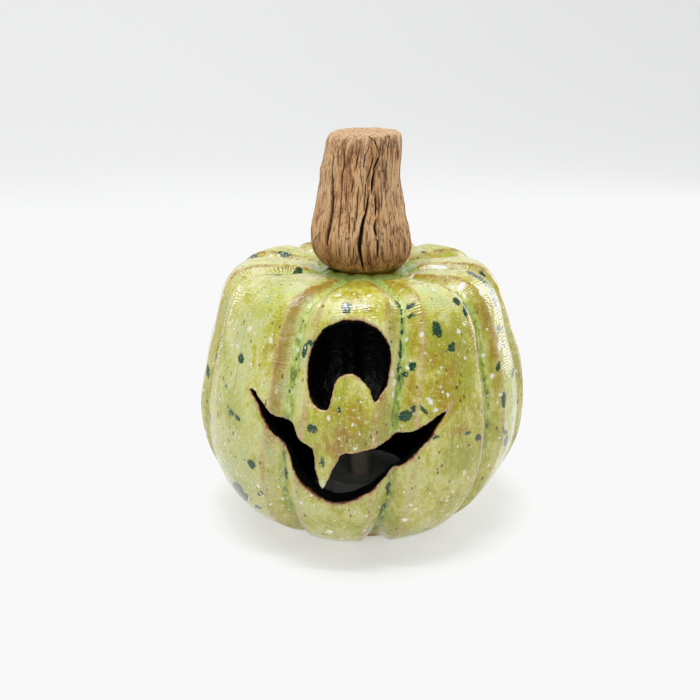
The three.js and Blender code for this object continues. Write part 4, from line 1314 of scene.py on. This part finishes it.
def glaze():
    """Yellow-green glaze outside, near-black glaze in the hollow, bare clay at the foot."""
    begin("yellow_green_glaze")
    gap, bevel, station = absolute(attribute("gd")), attribute("gw"), attribute("t")
    depth, dark, wiped = attribute("wd"), attribute("dark"), attribute("foot")
    big = noise(size=17.0, detail=3, rough=0.55, shift=3.0)
    med = noise(size=5.2, detail=4, rough=0.6, bend=0.7, shift=11.0)
    fine = noise(size=1.3, detail=3, rough=0.6, shift=23.0)
    flow = noise(size=2.4, detail=3, rough=0.55, bend=0.25, z=0.16, shift=7.0)
    wisp = noise(size=1.05, rough=0.6, bend=0.4, z=0.30, shift=41.0)
    grit = noise(size=1.0, detail=3, rough=0.65, z=0.6, shift=5.0)
    rim_noise = noise(size=3.4, shift=77.0)

    thin, body = glaze_body(big, med, fine, flow, wisp)
    body, shed, ridge = glaze_bevels(body, gap, bevel, station, big, med, flow, grit)
    body, pool = glaze_pools(body, gap, station, med, fine, wisp, grit)
    # painted shade: the glaze is darkened toward the foot, where the underside sits in shade
    low = step(station + vary(big, 0.2), 0.48, 0.84) * 0.75
    body = mix(low, body, LOW_PAINTED_SHADE, "MULTIPLY")
    body = glaze_crown(body, pool, med, wisp, grit)
    body, halo = glaze_cuts(body, med, grit, rim_noise)
    body, white_bloom_and_glint, green_bloom = glaze_blooms(body, gap, station)
    body, iron, long_iron, white = glaze_specks(body, thin, fine)

    burn = depth + vary(rim_noise, 2.0) + vary(grit, 0.7)
    inner = mix(step(burn, 1.25, 0.75), mix(med, HOLLOW_DARK, HOLLOW_LIGHT),
                mix(grit, BURNT, BURNT_LIGHT))
    body = mix(step(dark, 0.25, 0.6), body, inner)
    clay = mix(noise(size=2.0, detail=5, rough=0.7, shift=6.0), FOOT_DARK, FOOT_LIGHT)
    clay = mix(specks(pitch=1.5, radius=0.16, share=0.6, shift=4.0), clay, FOOT_SPECK)
    bare = step(wiped + vary(med, 0.5), 0.45, 0.6)
    body = mix(bare, body, clay)

    # relief of the glaze, with fine level ripples 1.22 mm apart
    ripple = math_node("SINE", (station * ARC + big * 9.0
                                + noise(size=8.0, detail=1, shift=17.0) * 3.0)
                       * (2 * math.pi / 1.22))
    rippled = (step(noise(size=13.0, detail=1, shift=27.0), 0.40, 0.58, low=0.10)
               * step(gap, 0.8, 2.5, low=0.2) * step(station, 0.62, 0.40, low=0.25)
               * step(station, 0.12, 0.2))
    height = (noise(size=4.0, shift=37.0) * 0.30 + noise(size=1.5, z=0.4, shift=39.0) * 0.075
              + ripple * rippled * 0.042 + fine * 0.018 + white_bloom_and_glint * 0.05 + white * 0.05
              + green_bloom * -0.03 + larger(iron, long_iron) * -0.06
              + pool * noise(size=0.9, detail=1, shift=29.0) * 0.20
              + step(attribute("cut"), 0.42, 0.0) * -0.22)
    height = blend_values(step(dark, 0.25, 0.6), height,
                          noise(size=3.0, detail=3, rough=0.6, shift=1.0) * 0.5 + grit * 0.08)
    height = blend_values(bare, height,
                          noise(size=0.5, detail=3, rough=0.7, shift=8.0) * 0.12)
    rough = (0.055 + ridge * 0.12 + shed * 0.07 + halo * 0.25 + fine * 0.05 + big * 0.05)
    rough = blend_values(step(dark, 0.25, 0.6), rough, 0.22)
    rough = blend_values(bare, rough, 0.88)
    return finish(body, rough, bump(height), ior=1.56)


# ----------------------------------------------------------------- stem clay
CLAY_DARK, CLAY_MID, CLAY_LIGHT = rgb(92, 56, 30), rgb(168, 120, 78), rgb(206, 162, 116)
CLAY_TOP = rgb(206, 172, 134)
CLAY_WARM, CLAY_WARM_DARK = rgb(158, 102, 56), rgb(112, 66, 32)
CLAY_CREASE_SHADE, CLAY_HAIR_LIT_SIDE, CLAY_SPLIT_SHADE = rgb(44, 24, 14), rgb(96, 56, 26), rgb(22, 12, 8)
CLAY_PIT_SHADE = rgb(60, 32, 20)
SMEAR_DARK, SMEAR_LIGHT = rgb(96, 84, 22), rgb(150, 142, 60)


def bare_clay():
    begin("bare_stem_clay")
    split, raised = attribute("crk"), attribute("hgt")
    big = noise(size=12.0, detail=3, rough=0.55, z=0.5, shift=2.0)
    med = noise(size=2.6, detail=4, rough=0.6, z=0.35, shift=5.0)
    fine = noise(size=0.55, detail=3, rough=0.65, z=0.5, shift=8.0)
    strand = noise(size=0.7, detail=3, rough=0.6, bend=0.15, z=0.05, shift=12.0)
    # painted shade: the tone darkens where the surface sinks and lightens where it rises
    tone = (med * 0.5 + big * 0.3 + strand * 0.45 + fine * 0.46 + vary(raised, 0.50) + -0.27)
    colour = ramp(tone, [(0.2, CLAY_DARK), (0.42, CLAY_MID), (0.62, CLAY_LIGHT),
                         (0.85, CLAY_TOP)])
    x, _, z = axes()
    # fired a little warmer toward the foot, lighter toward the cut top
    low = step(z + big * 9.0, 122.0, 105.0)
    colour = mix(low * 0.62, colour, mix(step(tone, 0.25, 0.65), CLAY_WARM_DARK, CLAY_WARM))
    high = step(z + med * 3.0, 147.5, 153.6)
    colour = mix(high * 0.6, colour, CLAY_TOP)
    # hairline grooves, painted dark as shade in the creases and a lighter brown on the -X side,
    # where the light falls
    vein = noise(size=1.7, bend=0.25, z=0.045, shift=44.0)
    line = (step(absolute(vein - 0.5), 0.034, 0.010)
            * step(noise(size=2.4, z=0.2, shift=48.0), 0.36, 0.50))
    hair = larger(step(strand, 0.405, 0.370) * 0.7, line)
    colour = mix(hair * 0.68, colour, mix(step(x, -12.0, 2.0), CLAY_HAIR_LIT_SIDE, CLAY_CREASE_SHADE))
    # painted shade: the valleys of the surface are darkened
    colour = mix(step(raised, 0.38, 0.08, high=0.30), colour, CLAY_CREASE_SHADE)
    # painted shade: the splits are darkened, to near black in the deepest part
    colour = mix(step(split, 0.18, 0.62, high=0.92), colour, CLAY_CREASE_SHADE)
    colour = mix(step(split, 0.55, 0.9, high=0.96), colour, CLAY_SPLIT_SHADE)
    pits = specks(pitch=0.95, radius=0.24, share=0.55, soft=0.5, ragged=0.2, z=0.6, shift=21.0)
    grog = specks(pitch=0.9, radius=0.2, share=0.3, soft=0.5, shift=25.0)
    big_pits = specks(pitch=3.6, radius=0.11, share=0.5, soft=0.5, ragged=0.1, z=0.6,
                      shift=28.0)
    colour = mix(grog * 0.4, colour, CLAY_TOP)
    # painted shade: the pits are darkened
    colour = mix(pits * 0.6, colour, CLAY_CREASE_SHADE)
    colour = mix(big_pits * 0.85, colour, CLAY_PIT_SHADE)
    # a smear of glaze caught under the swell of the foot
    smear = step(z + vary(med, 2.6), 103.4, 101.6)
    colour = mix(smear * 0.85, colour, mix(med, SMEAR_DARK, SMEAR_LIGHT))
    height = (strand * 0.45 + hair * -0.30 + med * 0.2 + fine * 0.17 + pits * -0.12
              + big_pits * -0.2 + grog * 0.05)
    return finish(colour, blend_values(smear, 0.86, 0.3), bump(height, strength=0.9),
                  specular=0.3)


# ------------------------------------------------------------- glaze fields
# thin ochre patches (or thick pale ones, below zero): azimuth, station, spread mm, amount
OCHRE_PATCHES = [
    (5.2,.487,1.8,1.6), (-2,.57,10,1.15), (-8,.62,7,.35), (-2,.25,9,.45), (0,.19,6,.4),
    (30,.47,12,.75), (36,.36,8,.35), (32,.30,9,-.45), (27,.55,8,.35), (32,.78,13,.25),
    (44,.60,9,.35), (58,.42,8,.45), (60,.32,8,.4), (22,.36,7,.4), (22,.20,7,.4),
    (48,.24,8,.25), (66,.62,10,-.25), (-42,.30,12,-.4), (-50,.42,10,-.25), (-36,.42,8,.3),
    (-32,.36,6,.4), (-60,.36,8,.2), (-44,.58,11,-.25), (-36,.70,9,-.05), (-52,.76,10,-.35),
    (-10,.88,12,-.1), (-14,.45,6,-.2), (3,.45,6,-.15), (10,.40,6,-.3), (-22,.40,5,-.5),
    (14,.60,5,-.5), (-100,.40,14,.3), (-125,.65,14,.4), (-150,.35,13,.4), (-170,.7,13,.3),
    (165,.4,14,.45), (140,.62,13,.4), (118,.35,12,.35), (96,.55,12,.35), (100,.8,12,.1),
    (-110,.78,12,-.2), (180,.5,12,-.3), (128,.82,12,.2)]
# where white specks crowd: azimuth, station, spread in mm
SPECKLED = [
    (-3,.55,12), (4,.86,12), (30,.76,14), (26,.52,7), (60,.42,12), (-40,.72,10), (55,.28,9),
    (-150,.5,14), (150,.75,14), (110,.4,12)]
# the tooth ends in a pale glassy drop: azimuth, station, half width and half height in mm
DROP = (-12.55, 0.686, 1.5, 3.0)
# the knife ran on a little past the +X tip of the mouth: (azimuth, height) of both ends
KNIFE_RUN = ((28.1, 62.62), (31.0, 66.2))
# glaze shed by each groove's bevels: (side toward -azimuth, side toward +azimuth)
SHED = [
    (0.35, 0.3), (1.0, 0.05), (0.25, 0.3), (0.4, 0.45), (0.3, 0.5), (0.5, 0.3), (0.4, 0.4),
    (0.6, 0.3), (0.35, 0.5), (0.4, 0.2)]


def glaze_fields(piece, fields, verts):
    """Stores the fields that steer the glaze."""
    phi, station, zone = fields["phi"], fields["t"], fields["zone"]
    face = zone < 0.5
    gap, bevel, _, lobe = groove_fields(phi, station)
    after = gap >= 0
    groove = np.where(after, lobe, (lobe + 1) % LOBES)
    shed = np.array(SHED)[groove, after.astype(int)] * (0.75 + 0.35 * noise3(verts / 9.0, 61))
    radius = crest(station)[0]

    def offset(centre, level):
        return wrapped(phi - centre) * radius, (station - level) * ARC

    ochre = np.zeros(len(phi))
    for centre, level, spread, amount in OCHRE_PATCHES:
        dx, dy = offset(centre, level)
        ochre += amount * np.exp(-(dx * dx + 0.6 * dy * dy) / (spread * spread))
    many = np.zeros(len(phi))
    for centre, level, spread in SPECKLED:
        dx, dy = offset(centre, level)
        many = np.maximum(many, np.exp(-(dx * dx + dy * dy) / (spread * spread)))
    centre, level, half_width, half_height = DROP
    dx, dy = offset(centre, level)
    drop = np.exp(-((dx / half_width) ** 2 + (dy / half_height) ** 2)) * face
    start, end = (to_plane(a, float(station_of_z(z))) for a, z in KNIFE_RUN)
    run = end - start
    away = to_plane(phi, station) - start
    along = np.clip((away @ run) / (run @ run), 0, 1)
    cut = np.linalg.norm(away - along[:, None] * run, axis=1) + 0.25 * along

    green, white = np.full((2, len(phi)), 20.0)
    green[face] = bloom_distance(phi[face], station[face], GREEN_BLOOMS)
    white[face] = bloom_distance(phi[face], station[face], WHITE_BLOOMS_AND_GLINTS)
    from_stem = np.hypot(verts[:, 0] - SHIFT[0] - STEM_X, verts[:, 1] - SHIFT[1])
    values = dict(
        many=np.clip(many * 1.4, 0, 1), tip=drop, cut=np.where(face, cut, 30.0),
        gd=gap, gw=bevel, ed=fields["ed"], t=station,
        wd=np.where(zone > 1.5, WALL, fields["wd"]), och=np.tanh(ochre * 1.1),
        tan=np.clip(shed, 0, 1), sg=green, sw=white,
        ring=np.where((verts[:, 2] > 88) & face, from_stem, 60.0),
        dark=(zone > 0.5) & (zone < 2.3), foot=zone > 2.3)
    for name, value in values.items():
        put(piece, name, value)


def attach(piece, material, rides, replaces):
    piece.data.materials.append(material)
    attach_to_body(piece, rides)
    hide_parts(replaces)


verts, fields, tri = shell()
pumpkin = mesh_object("glazed_shell", verts, tri)
glaze_fields(pumpkin, fields, verts)
attach(pumpkin, glaze(), "pumpkin", "pumpkin_shell")

verts, tri, painted_split_shade, surface_height = stem()
stalk = mesh_object("clay_stem", verts, tri)
put(stalk, "crk", painted_split_shade)
put(stalk, "hgt", surface_height)
attach(stalk, bare_clay(), "pumpkin", "stem")


# ------------------------------------------------------------------ tealight
CUP_COLUMNS, LENS_COLUMNS = 324, 180
CUP_FOOT_R, CUP_FLARE, CUP_HEIGHT = 18.0, 0.5, 17.0
CUP_FLUTES = 54
# profiles are (radius, height)
CUP_RIM = [
    (18.5, 16.2), (18.48, 16.55), (18.38, 16.82), (18.2, 16.96), (18.0, 17.0), (17.75, 16.95),
    (17.55, 16.75), (17.42, 16.4), (17.36, 15.8), (17.3, 15.3), (17.1, 15.06), (16.7, 15.0)]
CUP_INSIDE = [  # round the hole for the lens, then down the inside of the skirt
    (7.2, 15.0), (6.6, 15.06), (6.0, 15.06), (5.5, 15.0), (5.22, 14.85), (5.1, 14.6),
    (5.1, 13.8), (8.0, 13.8), (12.0, 13.8), (17.1, 13.8), (17.0, 9.0), (17.0, 4.0),
    (17.0, 0.4), (17.1, 0.0)]
LENS_OUT = [
    (3.4, 12.3), (4.6, 12.3), (6.1, 12.3), (6.4, 12.55), (6.4, 13.25), (6.1, 13.5),
    (5.2, 13.5), (4.86, 13.6),
    *catmull([(4.8, 14.2), (4.75, 16), (4.8, 18.5), (4.65, 21.5), (4.2, 25), (3.4, 28.6),
              (2.35, 32), (1.2, 35), (0.5, 36.2), (0.12, 36.46)], 6),
    (0, 36.5)]
LENS_IN = [
    (0, 34.3),
    *catmull([(0.2, 34.1), (0.7, 33), (1.6, 30.5), (2.6, 27.4), (3.3, 24.2), (3.7, 21),
              (3.85, 18.4), (3.8, 15), (3.4, 12.5)], 4)]


def turned(name, profile, columns, shape=None, closed=False):
    """A body turned about the tealight's axis; shape(radius, z, angle) gives the radius."""
    angle = np.linspace(0, 2 * math.pi, columns, endpoint=False)
    verts, rings, tri = [], [], []
    count = 0
    for radius, z in profile:
        if radius <= 0:
            ring = np.array([[0.0, 0.0, z]])
        else:
            radii = shape(radius, z, angle) if shape else np.full(columns, float(radius))
            ring = np.stack([radii * np.sin(angle), -radii * np.cos(angle),
                             np.full(columns, z)], 1)
        verts.append(ring)
        rings.append(count + np.arange(len(ring)))
        count += len(ring)
    for first, second in zip(rings, rings[1:] + (rings[:1] if closed else [])):
        if len(first) == 1:
            tri.append(pole_fan(first[0], second))
        elif len(second) == 1:
            tri.append(np.stack([first, np.full(columns, second[0]), np.roll(first, -1)], 1))
        else:
            tri.append(ring_strip(first, second))
    verts = np.vstack(verts)
    verts[:, :2] += SHIFT
    return mesh_object(name, verts, np.vstack(tri))


def cup_profile():
    out = [(CUP_FOOT_R, 0.0), (18.05, 0.25)]
    out += [(CUP_FOOT_R + CUP_FLARE * z / CUP_HEIGHT, float(z))
            for z in np.linspace(0.8, 15.8, 31)]
    out += CUP_RIM
    for radius in np.linspace(16.2, 7.6, 26):  # the rippled top
        ripple = 0.10 * math.sin(radius * 2.4) if 9 < radius < 15.5 else 0
        out.append((float(radius), 14.93 + ripple * 0.6 - 0.05 * math.cos(radius * 0.9)))
    return out + CUP_INSIDE


def cup_ribs(radius, z, angle):
    amount = 0.0
    if radius > 17.9:
        amount = smoothstep(1.6, 2.6, z) * (1 - smoothstep(13.6, 14.6, z))
    flute = np.abs(np.sin(angle * (CUP_FLUTES // 2))) ** 0.6
    return radius - 0.26 * amount * (1 - flute) - 0.05 * amount


def flame_flutes(radius, z, angle):
    amount = smoothstep(14.5, 18.0, z) * (1 - smoothstep(34.0, 36.3, z))
    lean = (0.055 * amount * np.cos(5 * angle + z * 0.20)
            + 0.02 * amount * np.cos(2 * angle - z * 0.11))
    return radius * (0.945 + 0.055 * (1 - amount) + lean)


def flame_lens():
    """Hollow flame: an outer and an inner body bridged at their open ends."""
    lens = turned("frosted_flame_lens", LENS_OUT, LENS_COLUMNS, flame_flutes)
    inner = turned("lens_inner", LENS_IN, LENS_COLUMNS)
    work = bmesh.new()
    work.from_mesh(lens.data)
    work.from_mesh(inner.data)
    bmesh.ops.remove_doubles(work, verts=work.verts, dist=1e-6)
    open_edges = [e for e in work.edges if len(e.link_faces) == 1]
    bmesh.ops.bridge_loops(work, edges=open_edges)
    bmesh.ops.recalc_face_normals(work, faces=work.faces)
    work.to_mesh(lens.data)
    work.free()
    lens.data.polygons.foreach_set("use_smooth", np.full(len(lens.data.polygons), True))
    bpy.data.objects.remove(inner)
    return lens


def moulded(name, colour, worn, rough, grain):
    """Scuffed, slightly dusty plastic; colours are sRGB levels."""
    begin(name)
    flow = noise(size=4.5, detail=4, rough=0.6, bend=1.2, z=0.3, shift=3.0)
    fine = noise(size=0.22, rough=0.6, shift=9.0)
    scuff = noise(size=1.4, detail=5, rough=0.75, bend=0.6, y=0.25, z=0.8, shift=21.0)
    dust = specks(pitch=1.1, radius=0.10, share=0.5, soft=0.6, ragged=0.2, shift=31.0)
    scuffed = [min(255, int(level * 1.35) + 14) for level in worn]
    body = mix(step(flow, 0.35, 0.7, high=0.6), rgb(*colour), rgb(*worn))
    body = mix(step(scuff, 0.60, 0.72, high=0.35), body, rgb(*scuffed))
    body = mix(dust * 0.5, body, rgb(190, 186, 174))
    gloss = rough + step(scuff, 0.52, 0.72) * 0.16 + vary(fine, 0.10)
    return finish(body, gloss, bump(fine * grain + flow * 0.06 + scuff * -0.03))


def metal(name, colour, tarnish, rough, centre=None):
    """Brushed metal; the brush lines are rings round centre where one is given."""
    begin(name)
    if centre is None:
        lines = noise(size=1.0, detail=4, rough=0.7, x=0.2, y=6.0, z=0.2, shift=4.0)
    else:
        offset = vector_math("SUBTRACT", object_mm, (*centre, 0))
        level = vector_math("MULTIPLY", offset, (1, 1, 0))
        radius = vector_math("LENGTH", level, output="Value")
        ring = node("ShaderNodeCombineXYZ")
        plug(radius * 7.0, ring.inputs[0])
        lines = noise_at(Value(ring.outputs[0]), 1.0, detail=4, rough=0.7)
    patch = noise(size=2.6, detail=4, rough=0.65, bend=0.5, shift=14.0)
    body = mix(step(patch, 0.42, 0.72, high=0.7), rgb(*colour), rgb(*tarnish))
    body = mix(lines * 0.25, body, rgb(*[int(level * 0.6) for level in colour]))
    gloss = rough + vary(lines, 0.22) + patch * 0.10
    return finish(body, gloss, bump(lines * 0.04 + patch * 0.03), metallic=1.0)


def epoxy():
    begin("lamp_epoxy")
    haze = noise(size=1.6, detail=4, rough=0.6, bend=0.8, shift=2.0)
    phosphor = step(axes()[2], 14.2, 12.6)
    colour = mix(haze, rgb(244, 236, 212), rgb(226, 208, 160))
    colour = mix(phosphor, colour, rgb(232, 196, 92))
    height = haze * 0.05 + noise(size=0.3, shift=7.0) * 0.015
    return finish(colour, 0.10 + haze * 0.12, bump(height), Transmission_Weight=0.35)


def frosted():
    begin("frosted_lens_plastic")
    swirl = noise(size=2.4, detail=4, rough=0.6, bend=1.4, z=0.35, shift=6.0)
    fine = noise(size=0.4, rough=0.6, shift=12.0)
    tip = step(axes()[2], 22.0, 36.0)
    colour = mix(swirl, rgb(204, 196, 172), rgb(222, 212, 184))
    colour = mix(tip * 0.6, colour, rgb(226, 196, 140))
    height = swirl * 0.10 + fine * 0.03
    return finish(colour, 0.34 + fine * 0.12, bump(height), Transmission_Weight=0.2)


def dress(name, material):
    """Gives a loaded piece its material."""
    materials = bpy.data.objects[name].data.materials
    materials.clear()
    materials.append(material)


cup = turned("ribbed_cup", cup_profile(), CUP_COLUMNS, cup_ribs, closed=True)
cup_plastic = moulded("white_cup_plastic", colour=(196, 197, 190), worn=(210, 210, 204),
                      rough=0.34, grain=0.03)
attach(cup, cup_plastic, "tealight", "tealight_cup")
attach(flame_lens(), frosted(), "tealight", "flame_lens")

dress("tealight_base", moulded("black_base_plastic", colour=(30, 30, 33), worn=(48, 48, 51),
                               rough=0.46, grain=0.07))
dress("battery_door", moulded("black_door_plastic", colour=(34, 34, 37), worn=(56, 56, 58),
                              rough=0.50, grain=0.08))
dress("switch_slider", moulded("grey_switch_plastic", colour=(66, 66, 70), worn=(92, 92, 95),
                               rough=0.42, grain=0.05))
dress("led", epoxy())
tin = metal("tinned_wire", colour=(206, 208, 210), tarnish=(150, 148, 140), rough=0.28)
dress("anode_lead", tin)
dress("cathode_lead", tin)
dress("contact_spring", metal("spring_brass", colour=(212, 178, 92), tarnish=(150, 108, 52),
                              rough=0.30))
dress("coin_cell", metal("cell_steel", colour=(196, 198, 200), tarnish=(150, 148, 142),
                         rough=0.24, centre=(-3 + SHIFT[0], SHIFT[1])))

# ------------------------------------------------------------------- staging
COOL_WHITE = (0.985, 0.992, 1.0, 1)
WORLD_FRONT, WORLD_BACK, WORLD_SEEN = 0.22, 0.42, 0.80  # strengths of the world
WHITE_TOP = 0.945  # where full white lands on the view curve
CURVE_KNEE = 0.80  # values up to here pass unchanged
# glow of the paper is painted light: it lifts the shade on the floor and is brighter on the left
# of the backdrop
PAPER_GLOW, PAPER_BACK_L, PAPER_BACK_R = 0.49, 0.575, 0.50
SWEEP_HALF, SWEEP_BEND_Y, SWEEP_RADIUS = 2600, 1100, 800  # mm
SWEEP_ARC_STEPS = 16


def sweep_floor():
    """A floor that curves up into a back wall on +Y."""
    profile = [(-2200, 0), (SWEEP_BEND_Y, 0)]
    for i in range(1, SWEEP_ARC_STEPS + 1):
        angle = math.radians(90 * i / SWEEP_ARC_STEPS)
        profile.append((SWEEP_BEND_Y + SWEEP_RADIUS * math.sin(angle),
                        SWEEP_RADIUS * (1 - math.cos(angle))))
    profile.append((SWEEP_BEND_Y + SWEEP_RADIUS, 2600))
    verts = [(x, y, z) for y, z in profile for x in (-SWEEP_HALF, SWEEP_HALF)]
    quads = np.array([[2 * i, 2 * i + 1, 2 * i + 3, 2 * i + 2]
                      for i in range(len(profile) - 1)])
    sweep = mesh_object("studio_sweep", verts, quads, recalc=False)
    return sweep


def paper():
    begin("paper")
    x, y, z = axes()
    # painted light: the paper glows to lift the shade on the floor, brighter on the left of the
    # backdrop than on the right
    far = step(y + z * 0.9, 150.0, 1900.0)
    side = step(x, -650.0, 650.0)
    glow = blend_values(far, PAPER_GLOW, blend_values(side, PAPER_BACK_L, PAPER_BACK_R))
    # painted shadow: the glow fades out under the pumpkin, painting a dark patch round its foot
    radius = vector_math("LENGTH", place(z=0), output="Value")
    glow = glow * step(radius, 12.0, 38.0)
    return finish((0.50, 0.50, 0.50, 1), 0.95, specular=0.1, Emission_Color=COOL_WHITE,
                  Emission_Strength=glow)


def studio_world():
    """Brighter toward the back; the camera sees a pale room past the edge of the paper."""
    world = bpy.data.worlds.new("studio")
    bpy.context.scene.world = world
    world.use_nodes = True
    nodes, links = world.node_tree.nodes, world.node_tree.links
    background = nodes["Background"]
    coords = nodes.new("ShaderNodeTexCoord")
    split = nodes.new("ShaderNodeSeparateXYZ")
    links.new(coords.outputs["Generated"], split.inputs[0])
    strength = nodes.new("ShaderNodeMapRange")
    strength.interpolation_type = "SMOOTHSTEP"
    for socket, value in zip(strength.inputs, (0, -1.0, 0.15, WORLD_FRONT, WORLD_BACK)):
        socket.default_value = value
    links.new(split.outputs[1], strength.inputs[0])
    path = nodes.new("ShaderNodeLightPath")
    seen = nodes.new("ShaderNodeMix")
    seen.data_type = "FLOAT"
    links.new(path.outputs["Is Camera Ray"], seen.inputs[0])
    links.new(strength.outputs[0], seen.inputs[2])
    seen.inputs[3].default_value = WORLD_SEEN
    links.new(seen.outputs[0], background.inputs[1])
    background.inputs[0].default_value = COOL_WHITE


def area_light(name, location, aim, width, height, watts):
    light = bpy.data.lights.new(name, "AREA")
    light.energy = watts
    light.shape = "RECTANGLE"
    light.size = width
    light.size_y = height
    lamp = bpy.data.objects.new(name, light)
    lamp.location = location
    lamp.rotation_euler = (Vector(aim) - Vector(location)).to_track_quat("-Z", "Y").to_euler()
    bpy.context.scene.collection.objects.link(lamp)


def view_curve():
    """Holds the whites just under full white."""
    view = bpy.context.scene.view_settings
    view.view_transform = "Standard"
    view.look = "None"
    view.use_curve_mapping = True
    mapping = view.curve_mapping
    mapping.extend = "HORIZONTAL"
    combined = mapping.curves[3]
    combined.points[1].location = (1.0, WHITE_TOP)
    combined.points.new(CURVE_KNEE, CURVE_KNEE)
    mapping.update()


def camera():
    """Looks at the face from -Y and a little above."""
    data = bpy.data.cameras.new("camera")
    viewer = bpy.data.objects.new("camera", data)
    bpy.context.scene.collection.objects.link(viewer)
    viewer.location = (-0.00419 + SHIFT[0] * MM, -0.3975 + SHIFT[1] * MM, 0.19704)
    viewer.rotation_euler = (math.radians(90 - 18.114), 0, 0)
    data.sensor_width = 36
    data.lens = 54.201086
    data.clip_start = 0.01
    bpy.context.scene.camera = viewer


sweep_floor().data.materials.append(paper())
studio_world()
area_light("overhead", (-0.17, -0.08, 1.02), aim=(0, 0, 0.05), width=0.72, height=0.72,
           watts=7.2)
area_light("strip", (-0.02, -0.20, 0.80), aim=(0, 0, 0.09), width=0.30, height=0.035,
           watts=1.6)
area_light("left_card", (-0.60, 0.56, 0.26), aim=(0, 0, 0.06), width=0.07, height=0.8,
           watts=0.9)
area_light("right_card", (0.62, 0.46, 0.28), aim=(0, 0, 0.06), width=0.34, height=0.6,
           watts=3.2)
area_light("front_fill", (0.15, -1.1, 0.45), aim=(0, 0, 0.05), width=0.7, height=0.5,
           watts=1.6)
view_curve()
camera()
